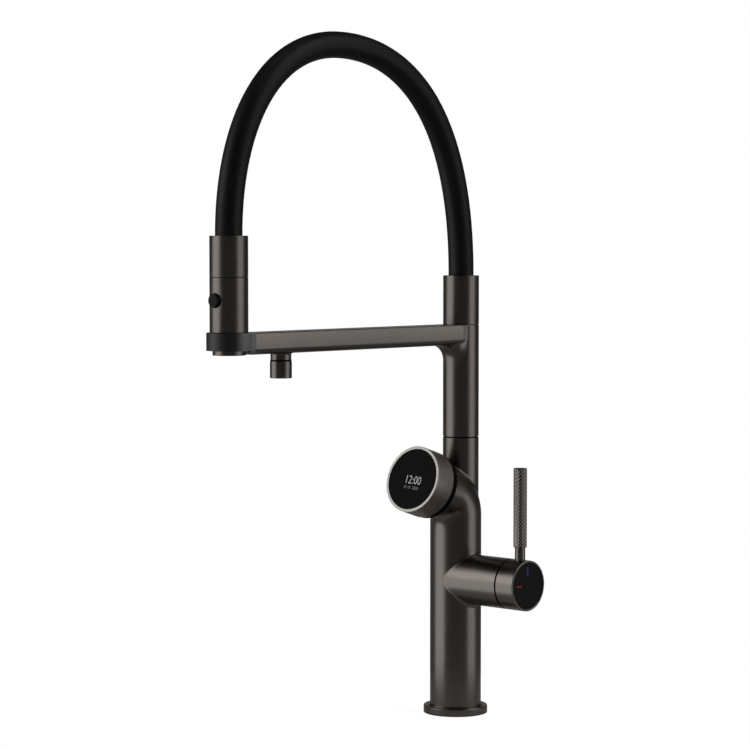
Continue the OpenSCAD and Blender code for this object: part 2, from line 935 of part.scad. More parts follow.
module swivel_washer() {
    color(black_plastic) on_upper(seam_z) ring(upper_r - fit_gap, spigot_d / 2 + fit_gap, washer_t);
}

module swivel_bushes() {
    color(black_plastic)
        for (up = [bush_low, bush_high])
            on_upper(seam_z + up) ring(upper_bore_r - run_gap, spigot_d / 2 + fit_gap, bush_h);
}

module swivel_seals() {
    middle = (spigot_d / 2 + upper_bore_r) / 2;
    room = upper_bore_r - spigot_d / 2 - 2 * fit_gap;
    color(rubber)
        for (up = seals_up)
            on_upper(seam_z + up)
                rotate_extrude() translate([middle, 0]) circle(d = min(seal_d, room));
}

module swivel_snap_ring() {
    color(steel)
        on_upper(seam_z + snap_z)
            ring(upper_bore_r + snap_groove - fit_gap, spigot_d / 2 - snap_groove + fit_gap, snap_t);
}

module swivel_distributor() {
    color(brass)
        difference() {
            on_upper(distributor_z) cylinder(r = upper_bore_r - fit_gap, h = distributor_h);
            on_upper(distributor_z - cut) cylinder(d = spigot_bore_d, h = distributor_h / 2 + cut);
            translate([0, riser_y, distributor_z + distributor_h / 3])
                cylinder(d = riser_d - 2 * tube_wall, h = distributor_h);
            translate([0, filtered_y, distributor_z - cut])
                cylinder(d = filtered_d - 2 * tube_wall, h = distributor_h + 2 * cut);
        }
}

// Swivelling column with its arm

// Section of the arm, with its lower edges rounded
module arm_section(w, h, edge) {
    translate([-w / 2, edge]) square([w, h - edge]);
    translate([-w / 2 + edge, 0]) square([w - 2 * edge, h]);
    for (side = [-1, 1]) translate([side * (w / 2 - edge), edge]) circle(r = edge);
}

// The arm's section drawn from y = start towards -Y
module arm_bar(start, length, w, h, edge) {
    translate([0, start, arm_top - h])
        rotate([90, 0, 0]) linear_extrude(height = length) arm_section(w, h, edge);
}

// The fillet between the arm's underside and the round column
module arm_corner() {
    inside = upper_bore_r + upper_wall / 2;
    intersection() {
        on_upper(arm_bottom - arm_fillet)
            rotate_extrude()
                difference() {
                    translate([inside, 0])
                        square([upper_r - inside + arm_fillet, arm_fillet + arm_round]);
                    translate([upper_r + arm_fillet, 0]) circle(r = arm_fillet);
                }
        translate([-arm_w / 2, upper_y - 2 * upper_r, arm_bottom - arm_fillet])
            cube([arm_w, 2 * upper_r, arm_fillet + arm_round]);
    }
}

module swivel_arm() {
    cavity_x = arm_w / 2 - arm_wall;
    cavity_z = arm_bottom + arm_wall;
    color(gunmetal)
        difference() {
            union() {
                on_upper(swivel_z) cylinder(r = upper_r, h = arm_top - swivel_z);
                on_upper(arm_top - cut)
                    cylinder(r = upper_bore_r + collar_spigot_wall, h = collar_spigot_h + cut);
                arm_bar(upper_y, upper_y - dock_y, arm_w, arm_h, arm_round);
                arm_corner();
            }
            on_upper(swivel_z - cut)
                cylinder(r = upper_bore_r, h = arm_top + collar_spigot_h - swivel_z + 2 * cut);
            on_upper(seam_z + snap_z - fit_gap)
                cylinder(r = upper_bore_r + snap_groove, h = snap_t + 2 * fit_gap);
            translate([-cavity_x, dock_y - cut, cavity_z])
                cube([2 * cavity_x, upper_y - dock_y, arm_h - 2 * arm_wall]);
            translate([0, outlet_y, arm_bottom - cut])
                cylinder(d = outlet_hole_d + 2 * fit_gap, h = arm_wall + 2 * cut);
        }
}

module mixed_riser() {
    top = collar_top - hose_grip - fitting_floor;
    color(brass)
        translate([0, riser_y, distributor_top])
            ring(riser_d / 2, riser_d / 2 - tube_wall, top - distributor_top);
}

module filtered_tube() {
    outlet_z = arm_bottom + outlet_spigot_h;
    color(black_plastic) {
        translate([0, filtered_y, distributor_top])
            cylinder(d = filtered_d, h = filtered_z - distributor_top);
        translate([0, filtered_y, filtered_z]) sphere(d = filtered_d);
        translate([0, filtered_y, filtered_z])
            rotate([90, 0, 0]) cylinder(d = filtered_d, h = filtered_y - outlet_y);
        translate([0, outlet_y, filtered_z]) sphere(d = filtered_d);
        translate([0, outlet_y, outlet_z]) cylinder(d = filtered_d, h = filtered_z - outlet_z);
    }
}

// Dock for the spray at the arm's end

module dock_block() {
    tongue_x = arm_w / 2 - arm_wall - fit_gap;
    color(black_plastic)
        difference() {
            union() {
                intersection() {
                    on_spray(dock_bottom) cylinder(d = dock_d, h = dock_h);
                    translate([-dock_d, dock_y - 2 * dock_d, dock_bottom])
                        cube([2 * dock_d, 2 * dock_d, dock_h]);
                }
                arm_bar(dock_y, dock_l, arm_w, arm_h - dock_sink, arm_round);
                translate([-tongue_x, dock_y - cut, arm_bottom + arm_wall + fit_gap])
                    cube([2 * tongue_x, tongue_l + cut, arm_h - 2 * arm_wall - 2 * fit_gap]);
            }
            on_spray(arm_bottom - cut) cylinder(r = dock_bore_r, h = arm_h + dock_h);
            on_spray(arm_bottom - cut)
                ring(
                    dock_d / 2 - magnet_wall, dock_bore_r + magnet_wall,
                    dock_bottom + magnet_h - arm_bottom + cut
                );
        }
}

module dock_magnet() {
    color(steel)
        on_spray(dock_bottom)
            ring(
                dock_d / 2 - magnet_wall - fit_gap, dock_bore_r + magnet_wall + fit_gap,
                magnet_h
            );
}

// Filtered water outlet under the arm

module outlet_neck() {
    neck_r = outlet_d / 2 - outlet_step;
    color(gunmetal)
        translate([0, outlet_y, 0])
            difference() {
                union() {
                    translate([0, 0, outlet_seam]) cylinder(r = neck_r, h = outlet_neck_l);
                    translate([0, 0, outlet_seam])
                        cylinder(d = outlet_hole_d, h = outlet_neck_l + outlet_spigot_h);
                    translate([0, 0, arm_bottom - outlet_fillet])
                        rotate_extrude()
                            difference() {
                                square([neck_r + outlet_fillet, outlet_fillet]);
                                translate([neck_r + outlet_fillet, 0]) circle(r = outlet_fillet);
                            }
                }
                translate([0, 0, outlet_seam - cut])
                    cylinder(d = outlet_bore_d, h = outlet_neck_l + outlet_spigot_h + 2 * cut);
            }
}

module outlet_seal() {
    color(rubber)
        translate([0, outlet_y, outlet_seam - outlet_seal_t])
            ring(outlet_d / 2 - outlet_step, outlet_bore_d / 2, outlet_seal_t);
}

module outlet_body() {
    top = outlet_seam - outlet_seal_t;
    color(gunmetal)
        translate([0, outlet_y, top - outlet_l])
            difference() {
                cylinder(d = outlet_d, h = outlet_l);
                translate([0, 0, -cut])
                    cylinder(d = outlet_d - 2 * outlet_wall, h = aerator_h + aerator_recess + cut);
                cylinder(d = outlet_bore_d, h = outlet_l + cut);
            }
}

module outlet_aerator() {
    bottom = outlet_seam - outlet_seal_t - outlet_l + aerator_recess;
    aerator_r = outlet_d / 2 - outlet_wall - fit_gap;
    color(black_plastic)
        translate([0, outlet_y, bottom])
            difference() {
                cylinder(r = aerator_r, h = aerator_h);
                for (i = [0 : aerator_holes - 1])
                    rotate([0, 0, 360 * i / aerator_holes])
                        translate([aerator_r * aerator_share, 0, -cut])
                            cylinder(d = aerator_hole_d, h = aerator_h + 2 * cut);
            }
}

// Hose

module hose_collar() {
    spigot_r = upper_bore_r + collar_spigot_wall;
    color(gunmetal)
        on_upper(arm_top)
            difference() {
                cylinder(r = upper_r, h = collar_h);
                translate([0, 0, -cut]) cylinder(r = upper_bore_r, h = collar_h + 2 * cut);
                translate([0, 0, -cut])
                    cylinder(r = spigot_r + fit_gap, h = collar_spigot_h + fit_gap + cut);
            }
}

module column_hose_fitting() {
    floor_z = collar_top - hose_grip - fitting_floor;
    color(steel)
        difference() {
            on_upper(floor_z) cylinder(r = upper_bore_r - fit_gap, h = fitting_floor + hose_grip);
            on_upper(floor_z + fitting_floor) cylinder(r = hose_r + fit_gap, h = hose_grip + cut);
            translate([0, riser_y, floor_z - cut])
                cylinder(d = riser_d - 2 * tube_wall, h = fitting_floor / 2 + cut);
            on_upper(floor_z + fitting_floor / 3) cylinder(d = waterway_d, h = fitting_floor);
        }
}

module hose() {
    color(rubber) arch_tube(hose_path, hose_r, hose_r - hose_wall, hose_sides);
}

module hose_spring() {
    spring_out = hose_r - hose_wall - fit_gap;
    color(steel) arch_tube(hose_path, spring_out, spring_out - hose_spring_t, tube_sides);
}

module hose_inner_tube() {
    color(black_plastic)
        arch_tube(hose_path, inner_tube_d / 2, inner_tube_d / 2 - inner_tube_wall, tube_sides);
}

// Spray

module spray_hose_fitting() {
    floor_z = sleeve_z + lip_t;
    grip_z = sleeve_top - hose_grip;
    color(steel)
        on_spray(0)
            difference() {
                union() {
                    translate([0, 0, floor_z])
                        cylinder(r = spray_bore_r - fit_gap, h = sleeve_top - floor_z);
                    translate([0, 0, nipple_z]) cylinder(d = nipple_d, h = floor_z - nipple_z);
                }
                translate([0, 0, grip_z]) cylinder(r = hose_r + fit_gap, h = hose_grip + cut);
                translate([0, 0, nipple_z - cut]) cylinder(d = waterway_d, h = sleeve_top - nipple_z);
            }
}

module spray_collar() {
    color(gunmetal)
        on_spray(sleeve_z)
            difference() {
                cylinder(r = spray_r, h = sleeve_l);
                translate([0, 0, lip_t]) cylinder(r = spray_bore_r, h = sleeve_l);
                translate([0, 0, -cut]) cylinder(d = nipple_d + 2 * fit_gap, h = sleeve_l);
            }
}

module spray_body() {
    color(gunmetal)
        difference() {
            union() {
                on_spray(nozzle_z) cylinder(r = nozzle_r, h = spray_z - nozzle_z + cut);
                on_spray(spray_z) cylinder(r = spray_r, h = spray_l);
            }
            on_spray(nozzle_z - cut) cylinder(r = nozzle_bore_r, h = spray_l);
            on_spray(spray_z + nozzle_wall) cylinder(r = spray_bore_r, h = spray_l);
            on_button(0) cylinder(r = button_r + run_gap, h = spray_d);
        }
}

module spray_insert() {
    bottom = nozzle_z + jets_recess + jets_t;
    color(black_plastic)
        difference() {
            union() {
                on_spray(bottom) cylinder(r = nozzle_bore_r - fit_gap, h = spray_z - bottom);
                on_spray(bottom) cylinder(r = insert_slim_r, h = insert_top - bottom);
                on_spray(insert_step_z)
                    cylinder(r = spray_bore_r - fit_gap, h = insert_top - insert_step_z);
            }
            on_spray(bottom - cut) cylinder(d = waterway_d, h = insert_top - bottom);
            on_spray(nipple_z) cylinder(d = nipple_d + 2 * run_gap, h = nipple_l + cut);
            on_button(pocket_floor) cylinder(r = button_r + run_gap, h = spray_d);
            on_button(spindle_rod_end - button_travel - pocket_spare)
                cylinder(d = spindle_rod_d + 2 * run_gap, h = spray_d);
        }
}

module spray_face() {
    face_r = nozzle_bore_r - fit_gap;
    color(rubber)
        on_spray(nozzle_z + jets_recess)
            difference() {
                cylinder(r = face_r, h = jets_t);
                for (k = [1 : jet_rings])
                    for (i = [0 : 6 * k - 1])
                        rotate([0, 0, 60 * i / k])
                            translate([k * face_r / (jet_rings + 1), 0, -cut])
                                cylinder(d = jet_d, h = jets_t + 2 * cut);
            }
}

module spray_magnet() {
    color(steel)
        on_spray(spray_z + nozzle_wall)
            ring(spray_bore_r - fit_gap, nozzle_bore_r + fit_gap, spray_magnet_h);
}

module spray_button() {
    dome_r = (button_r * button_r + button_dome * button_dome) / (2 * button_dome);
    rim = button_tip - button_dome;
    color(black_plastic)
        difference() {
            union() {
                on_button(button_back) cylinder(r = button_r, h = rim - button_back);
                intersection() {
                    on_button(button_tip - dome_r) sphere(r = dome_r);
                    on_button(rim) cylinder(r = button_r, h = button_dome + cut);
                }
            }
            on_button(button_back - cut) cylinder(d = button_cup_d, h = button_cup_depth + cut);
        }
}

module button_spring() {
    color(steel)
        on_button(pocket_floor) coil(spring_r, spring_wire_d / 2, spring_turns, spring_l);
}

module diverter_spindle() {
    color(brass)
        on_button(spindle_rod_end)
            cylinder(d = spindle_rod_d, h = button_back + button_cup_depth - spindle_rod_end);
}

base_flange();
base_gasket();
base_insert();
main_body();
supply_tubes();
mixed_tube();
filtered_feed_tube();
valve_manifold();
cartridge_body();
cartridge_seal();
ceramic_disc_fixed();
ceramic_disc_turning();
cartridge_stem();
cartridge_nut();
handle_gap_ring();
handle_cap();
handle_face();
handle_grub_screw();
lever_rod();
lever_grip();
display_cable();
dial_spindle();
dial_gap_ring();
dial_bush();
dial_sleeve();
dial_rim();
dial_encoder_ring();
display_housing();
display_board();
display_panel();
display_glass();
swivel_spigot();
swivel_washer();
swivel_bushes();
swivel_seals();
swivel_snap_ring();
swivel_distributor();
swivel_arm();
mixed_riser();
filtered_tube();
dock_block();
dock_magnet();
outlet_neck();
outlet_body();
outlet_seal();
outlet_aerator();
hose_collar();
column_hose_fitting();
hose();
hose_spring();
hose_inner_tube();
spray_hose_fitting();
spray_collar();
spray_body();
spray_insert();
spray_face();
spray_magnet();
spray_button();
button_spring();
diverter_spindle();
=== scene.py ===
import json
import math

import bpy
import numpy as np
from mathutils import Matrix, Vector


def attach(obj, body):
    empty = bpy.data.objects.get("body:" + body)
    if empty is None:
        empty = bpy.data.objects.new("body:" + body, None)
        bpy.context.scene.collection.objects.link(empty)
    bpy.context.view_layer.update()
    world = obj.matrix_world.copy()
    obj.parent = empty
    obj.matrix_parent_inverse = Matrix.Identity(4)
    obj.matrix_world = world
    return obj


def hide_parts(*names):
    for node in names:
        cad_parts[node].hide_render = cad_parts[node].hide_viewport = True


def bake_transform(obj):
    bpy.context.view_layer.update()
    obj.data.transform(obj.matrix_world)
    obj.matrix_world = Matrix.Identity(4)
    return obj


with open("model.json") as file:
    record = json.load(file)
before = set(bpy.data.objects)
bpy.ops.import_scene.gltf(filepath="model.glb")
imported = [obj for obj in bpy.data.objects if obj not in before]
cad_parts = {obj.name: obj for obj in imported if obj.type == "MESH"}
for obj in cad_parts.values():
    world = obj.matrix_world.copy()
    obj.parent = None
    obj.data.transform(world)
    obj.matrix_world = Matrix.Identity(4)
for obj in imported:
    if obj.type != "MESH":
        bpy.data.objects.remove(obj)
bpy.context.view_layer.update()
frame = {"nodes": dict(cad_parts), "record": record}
print("frame loaded:", len(frame["nodes"]), "nodes")

mm = 0.001
scene = bpy.context.scene
scene.view_settings.view_transform = "Standard"


# small helpers

def deselectAll():
    if bpy.context.mode != "OBJECT":
        bpy.ops.object.mode_set(mode="OBJECT")
    bpy.ops.object.select_all(action="DESELECT")


def only(piece):
    deselectAll()
    piece.select_set(True)
    bpy.context.view_layer.objects.active = piece


def placeInMesh(piece):
    only(piece)
    bpy.ops.object.transform_apply(location=True, rotation=True, scale=True)


def smoothPiece(piece, angle=30):
    only(piece)
    bpy.ops.object.shade_smooth_by_angle(angle=math.radians(angle))


def dress(piece, material):
    piece.data.materials.clear()
    piece.data.materials.append(material)


def meshPiece(name, points, faces):
    mesh = bpy.data.meshes.new(name)
    mesh.from_pydata([tuple(map(float, p)) for p in points], [], [tuple(map(int, f)) for f in faces])
    piece = bpy.data.objects.new(name, mesh)
    scene.collection.objects.link(piece)
    return piece


# materials

def newMaterial(name):
    material = bpy.data.materials.new(name)
    material.use_nodes = True
    tree = material.node_tree
    return material, tree, tree.nodes["Principled BSDF"]


def link(tree, a, b):
    tree.links.new(a, b)


def objectPlace(tree):
    return tree.nodes.new("ShaderNodeTexCoord").outputs["Object"]


# scale is per metre, one number or one for each axis
def objectPattern(tree, scale, turn=(0, 0, 0)):
    mapping = tree.nodes.new("ShaderNodeMapping")
    mapping.inputs["Scale"].default_value = scale if isinstance(scale, tuple) else (scale,) * 3
    mapping.inputs["Rotation"].default_value = turn
    link(tree, objectPlace(tree), mapping.inputs["Vector"])
    return mapping.outputs["Vector"]


def onAxis(tree, vector, axis):
    apart = tree.nodes.new("ShaderNodeSeparateXYZ")
    link(tree, vector, apart.inputs["Vector"])
    return apart.outputs[axis]


def combined(tree, operation, first, second):
    node = tree.nodes.new("ShaderNodeMath")
    node.operation = operation
    link(tree, first, node.inputs[0])
    link(tree, second, node.inputs[1])
    return node.outputs["Value"]


def noise(tree, vector, scale=1.0, detail=3.0, rough=0.55):
    node = tree.nodes.new("ShaderNodeTexNoise")
    node.inputs["Scale"].default_value = scale
    node.inputs["Detail"].default_value = detail
    node.inputs["Roughness"].default_value = rough
    link(tree, vector, node.inputs["Vector"])
    return node.outputs["Fac"]


def spanOf(tree, value, low, high, fromLow=0.3, fromHigh=0.7):
    node = tree.nodes.new("ShaderNodeMapRange")
    node.inputs["From Min"].default_value = fromLow
    node.inputs["From Max"].default_value = fromHigh
    node.inputs["To Min"].default_value = low
    node.inputs["To Max"].default_value = high
    link(tree, value, node.inputs["Value"])
    return node.outputs["Result"]


def tint(tree, factor, dark, light):
    node = tree.nodes.new("ShaderNodeMix")
    node.data_type = "RGBA"
    node.inputs["A"].default_value = (*dark, 1)
    node.inputs["B"].default_value = (*light, 1)
    link(tree, factor, node.inputs["Factor"])
    return node.outputs["Result"]


def relief(tree, height, strength, distance):
    node = tree.nodes.new("ShaderNodeBump")
    node.inputs["Strength"].default_value = strength
    node.inputs["Distance"].default_value = distance
    link(tree, height, node.inputs["Height"])
    return node.outputs["Normal"]


gunmetalLook = {
    "dark": (0.164, 0.148, 0.135),
    "light": (0.180, 0.162, 0.148),
    "rough": (0.28, 0.31),
    "lines": 2600,           # brushing lines per metre, coarse layer
    "along": 30,             # how fast a line fades along its length
    "detail": 4.0, "fray": 0.62,
    "grain": 0.35, "grainDepth": 0.0007 * mm,
    "cloud": 45,             # soft patches per metre
    "cloudRough": 0.02,      # how far they change the roughness
}


def brushedGunmetal(name, zones, look=gunmetalLook, paintedLight=()):
    material, tree, shader = newMaterial(name)
    layer = share = None
    for zone in zones:
        place = objectPattern(tree, zone["scale"], zone.get("turn", (0, 0, 0)))
        pattern = noise(tree, place, 1.0, look["detail"], look["fray"])
        if layer is None:
            layer = pattern
            continue
        share = None
        for axis, start, end in zone["limits"]:
            part = spanOf(tree, onAxis(tree, objectPlace(tree), axis), 0, 1, start, end)
            share = part if share is None else combined(tree, "MULTIPLY", share, part)
        mix = tree.nodes.new("ShaderNodeMix")
        link(tree, share, mix.inputs["Factor"])
        link(tree, layer, mix.inputs["A"])
        link(tree, pattern, mix.inputs["B"])
        layer = mix.outputs["Result"]
    colour = tint(tree, spanOf(tree, layer, 0, 1), look["dark"], look["light"])
    # painted light: each step makes the colour brighter along one axis, inside the last zone's limits
    for step in paintedLight:
        place = onAxis(tree, objectPlace(tree), step["axis"])
        gain = tree.nodes.new("ShaderNodeMath")
        gain.operation = "MULTIPLY_ADD"
        link(tree, spanOf(tree, place, 0, step["by"], step["from"], step["to"]), gain.inputs[0])
        link(tree, share, gain.inputs[1])
        gain.inputs[2].default_value = 1
        brighter = tree.nodes.new("ShaderNodeVectorMath")
        brighter.operation = "SCALE"
        link(tree, colour, brighter.inputs[0])
        link(tree, gain.outputs["Value"], brighter.inputs["Scale"])
        colour = brighter.outputs["Vector"]
    link(tree, colour, shader.inputs["Base Color"])
    shader.inputs["Metallic"].default_value = 1.0
    cloud = noise(tree, objectPattern(tree, look["cloud"]), 1.0, 2.0)
    patches = spanOf(tree, cloud, -look["cloudRough"], look["cloudRough"])
    link(tree, combined(tree, "ADD", spanOf(tree, layer, *look["rough"]), patches), shader.inputs["Roughness"])
    link(tree, relief(tree, layer, look["grain"], look["grainDepth"]), shader.inputs["Normal"])
    return material


neckTilt = math.radians(72)
fast, slow = gunmetalLook["lines"], gunmetalLook["along"]
# the brushing runs along each tube, and a second zone takes over inside its limits on the axes
upright = {"scale": (slow, slow, fast)}
branchWise = {"scale": (fast, slow, slow), "limits": [("X", 0.0195, 0.0215)]}
armWise = {"scale": (slow, fast, slow), "limits": [("Y", -0.003, -0.007), ("Z", 0.2865, 0.2885)]}
# painted light on the arm: its colour is paler towards its top edge and towards the column, where the lamps light
# it more
armPaintedLight = [
    {"axis": "Z", "from": 0.2935, "to": 0.3035, "by": 0.32},
    {"axis": "Y", "from": -0.12, "to": -0.01, "by": 0.28},
]
# the dial barrel's gunmetal has a paler base than the rest: a painted sheen for the light its brushing spreads
dialSheenLook = {**gunmetalLook, "dark": (0.270, 0.241, 0.222), "light": (0.296, 0.266, 0.245), "rough": (0.42, 0.46)}

gunmetal = brushedGunmetal("brushed_gunmetal", [upright])
gunmetalBody = brushedGunmetal("brushed_gunmetal_body", [upright, branchWise])
gunmetalArm = brushedGunmetal("brushed_gunmetal_arm", [upright, armWise], paintedLight=armPaintedLight)
gunmetalAcross = brushedGunmetal("brushed_gunmetal_valve", [{"scale": (fast, slow, slow)}])
gunmetalDial = brushedGunmetal("brushed_gunmetal_dial", [{**upright, "turn": (-neckTilt, 0, 0)}], dialSheenLook)


plainCloud = 60              # soft patches per metre


def plainFinish(name, dark, light, rough, grain, depth, metallic=0.0, specular=0.5, bump=0.3):
    material, tree, shader = newMaterial(name)
    fine = noise(tree, objectPattern(tree, grain), 1.0, 3.0)
    cloud = noise(tree, objectPattern(tree, plainCloud), 1.0, 2.0)
    link(tree, tint(tree, spanOf(tree, cloud, 0, 1), dark, light), shader.inputs["Base Color"])
    link(tree, spanOf(tree, fine, *rough), shader.inputs["Roughness"])
    link(tree, relief(tree, fine, bump, depth * mm), shader.inputs["Normal"])
    shader.inputs["Metallic"].default_value = metallic
    shader.inputs["Specular IOR Level"].default_value = specular
    return material


# grain is in lines per metre and its depth in mm
plainLooks = {
    "rim": {
        "name": "polished_rim", "dark": (0.41, 0.39, 0.37), "light": (0.45, 0.43, 0.408),
        "rough": (0.42, 0.46), "grain": 1500, "depth": 0.0003, "metallic": 1.0,
    },
    "blackPlastic": {
        "name": "satin_black_plastic", "dark": (0.016, 0.016, 0.0165), "light": (0.021, 0.021, 0.0215),
        "rough": (0.5, 0.6), "grain": 1400, "depth": 0.02,
    },
    "face": {
        "name": "matt_black_face", "dark": (0.0105, 0.0109, 0.0105), "light": (0.0130, 0.0134, 0.0130),
        "rough": (0.45, 0.55), "grain": 1200, "depth": 0.01, "specular": 0.1,
    },
    "glass": {
        "name": "display_black_glass", "dark": (0.0040, 0.0040, 0.0042), "light": (0.0050, 0.0050, 0.0052),
        "rough": (0.28, 0.34), "grain": 60, "depth": 0.001, "specular": 0.03, "bump": 0.05,
    },
    "rubber": {
        "name": "seal_rubber", "dark": (0.008, 0.008, 0.008), "light": (0.013, 0.013, 0.013),
        "rough": (0.55, 0.7), "grain": 900, "depth": 0.02, "specular": 0.3,
    },
    "hose": {
        "name": "matt_hose_sleeve", "dark": (0.0042, 0.0044, 0.0048), "light": (0.0062, 0.0064, 0.0068),
        "rough": (0.42, 0.52), "grain": 1500, "depth": 0.03, "specular": 0.25,
    },
    "button": {
        "name": "button_black", "dark": (0.0030, 0.0030, 0.0032), "light": (0.0045, 0.0045, 0.0047),
        "rough": (0.4, 0.5), "grain": 1500, "depth": 0.01, "specular": 0.14,
    },
    "gap": {
        "name": "gap_ring_black", "dark": (0.002, 0.002, 0.002), "light": (0.003, 0.003, 0.003),
        "rough": (0.5, 0.6), "grain": 1500, "depth": 0.01, "specular": 0.06,
    },
    "brass": {
        "name": "machined_brass", "dark": (0.42, 0.29, 0.12), "light": (0.52, 0.37, 0.17),
        "rough": (0.25, 0.38), "grain": 700, "depth": 0.01, "metallic": 1.0,
    },
    "steel": {
        "name": "turned_steel", "dark": (0.42, 0.43, 0.44), "light": (0.52, 0.53, 0.54),
        "rough": (0.25, 0.36), "grain": 700, "depth": 0.01, "metallic": 1.0,
    },
    "ceramic": {
        "name": "lapped_ceramic", "dark": (0.70, 0.68, 0.63), "light": (0.78, 0.76, 0.71),
        "rough": (0.12, 0.2), "grain": 300, "depth": 0.002,
    },
    "board": {
        "name": "circuit_board_green", "dark": (0.010, 0.075, 0.030), "light": (0.016, 0.11, 0.045),
        "rough": (0.35, 0.5), "grain": 500, "depth": 0.02,
    },
    "tube": {
        "name": "white_tube_plastic", "dark": (0.62, 0.62, 0.60), "light": (0.70, 0.70, 0.68),
        "rough": (0.35, 0.45), "grain": 500, "depth": 0.01,
    },
}
finishes = {key: plainFinish(**look) for key, look in plainLooks.items()}


# the lighter grey blended in along Y is a painted highlight from the right lamp on the black plastic
def plasticWithPaintedHighlight(name, look):
    material, tree, shader = newMaterial(name)
    cloud = noise(tree, objectPattern(tree, plainCloud), 1.0, 2.0)
    fine = noise(tree, objectPattern(tree, look["grain"]), 1.0, 3.0)
    mix = tree.nodes.new("ShaderNodeMix")
    mix.data_type = "RGBA"
    link(tree, spanOf(tree, onAxis(tree, objectPlace(tree), "Y"), 0, 1, *look["border"]), mix.inputs["Factor"])
    link(tree, tint(tree, spanOf(tree, cloud, 0, 1), *look["ring"]), mix.inputs["A"])
    link(tree, tint(tree, spanOf(tree, cloud, 0, 1), *look["block"]), mix.inputs["B"])
    link(tree, mix.outputs["Result"], shader.inputs["Base Color"])
    link(tree, spanOf(tree, fine, *look["rough"]), shader.inputs["Roughness"])
    link(tree, relief(tree, fine, look["bump"], look["depth"]), shader.inputs["Normal"])
    shader.inputs["Specular IOR Level"].default_value = look["specular"]
    return material


# painted shade in the grooves and painted highlight on the tops, by the distance from the grip's axis
def knurledMetal(name, look, shape):
    material, tree, shader = newMaterial(name)
    flat = tree.nodes.new("ShaderNodeVectorMath")
    flat.operation = "MULTIPLY_ADD"
    flat.inputs[1].default_value = (1, 1, 0)
    flat.inputs[2].default_value = (-shape["x"], 0, 0)
    link(tree, objectPlace(tree), flat.inputs[0])
    length = tree.nodes.new("ShaderNodeVectorMath")
    length.operation = "LENGTH"
    link(tree, flat.outputs["Vector"], length.inputs[0])
    share = spanOf(tree, length.outputs["Value"], 0, 1, shape["grooveR"], shape["topR"])
    link(tree, tint(tree, share, look["groove"], look["top"]), shader.inputs["Base Color"])
    fine = noise(tree, objectPattern(tree, look["grain"]), 1.0, 3.0)
    link(tree, spanOf(tree, fine, *look["rough"]), shader.inputs["Roughness"])
    shader.inputs["Metallic"].default_value = 1.0
    return material


gripShape = {
    "x": 65.5 * mm, "bottom": 135.1 * mm, "top": 195.9 * mm, "topR": 5.22 * mm, "grooveR": 4.99 * mm,
    "diamonds": 12, "perDiamond": 8, "slopeSteps": 3,
    "edge": 0.5 * mm, "boreR": 2.5 * mm, "boreTop": 191.9 * mm,
}
# the groove colour is painted shade and the top colour a painted highlight, far paler than the gunmetal
knurlPaintedLight = {"groove": (0.036, 0.032, 0.028), "top": (0.640, 0.578, 0.527), "rough": (0.28, 0.34), "grain": 900}
dockLook = {
    "ring": ((0.010, 0.010, 0.0105), (0.013, 0.013, 0.0135)),
    # the block colour is a painted highlight, and the border carries it over the ring's half beside the block
    "block": ((0.176, 0.178, 0.184), (0.198, 0.201, 0.207)),
    "rough": (0.42, 0.50), "specular": 0.6, "grain": 1400, "bump": 0.3, "depth": 0.01 * mm,
    "border": (-252 * mm, -244 * mm),
}
finishes["knurl"] = knurledMetal("knurl_painted_shade_and_highlight", knurlPaintedLight, gripShape)
finishes["dock"] = plasticWithPaintedHighlight("dock_plastic", dockLook)

slotFinish = {
    "gunmetal": gunmetal, "knurled_gunmetal": finishes["knurl"], "polished_metal": finishes["rim"],
    "black_plastic": finishes["blackPlastic"], "white_tube": finishes["tube"], "black_glass": finishes["glass"],
    "display": finishes["glass"], "rubber": finishes["rubber"], "hose_sleeve": finishes["hose"],
    "brass": finishes["brass"], "steel": finishes["steel"], "ceramic": finishes["ceramic"],
    "circuit_board": finishes["board"],
}
nodeFinish = {"dock_block": finishes["dock"], "handle_gap_ring": finishes["gap"]}

for part in frame["record"]["subparts"]:
    nodeName = part["node"]
    dress(frame["nodes"][nodeName], nodeFinish.get(nodeName, slotFinish[part["material_slot"]]))
print("materials done")


# CAD nodes that stay: joined triangles, and broken edges of this width in mm (0 keeps them sharp)

edgeSizes = {
    "base_flange": 0.15, "handle_gap_ring": 0.1, "lever_rod": 0.2, "display_glass": 0.15, "hose_collar": 0.35,
    "dock_block": 0.3, "outlet_neck": 0.12, "outlet_body": 0.35, "spray_collar": 0.35, "spray_body": 0.3,
    "outlet_aerator": 0, "spray_face": 0, "base_insert": 0, "base_gasket": 0,
}
# angles in degrees
edgeStyle = {"join": 0.002 * mm, "rounds": 2, "brokenFrom": 40, "crispFrom": 32, "weight": 80}
for nodeName, size in edgeSizes.items():
    node = frame["nodes"][nodeName]
    for face in node.data.polygons:
        face.use_smooth = True
    weld = node.modifiers.new("join", "WELD")
    weld.merge_threshold = edgeStyle["join"]
    if size:
        bevel = node.modifiers.new("edges", "BEVEL")
        bevel.width = size * mm
        bevel.segments = edgeStyle["rounds"]
        bevel.limit_method = "ANGLE"
        bevel.angle_limit = math.radians(edgeStyle["brokenFrom"])
        bevel.miter_outer = "MITER_ARC"
    split = node.modifiers.new("crisp", "EDGE_SPLIT")
    split.split_angle = math.radians(edgeStyle["crispFrom"])
    split.use_edge_sharp = False
    straight = node.modifiers.new("straight_shading", "WEIGHTED_NORMAL")
    straight.weight = edgeStyle["weight"]
print("CAD nodes dressed")


# skins: surfaces wrapped round fields of distance, with soft inner corners

tiny, nearlyLevel = 1e-12, 0.98


def slope(field, points, step=0.01 * mm):
    result = np.empty_like(points)
    for axis in range(3):
        shift = np.zeros(3)
        shift[axis] = step
        result[:, axis] = (field(points + shift) - field(points - shift)) / (2 * step)
    return result


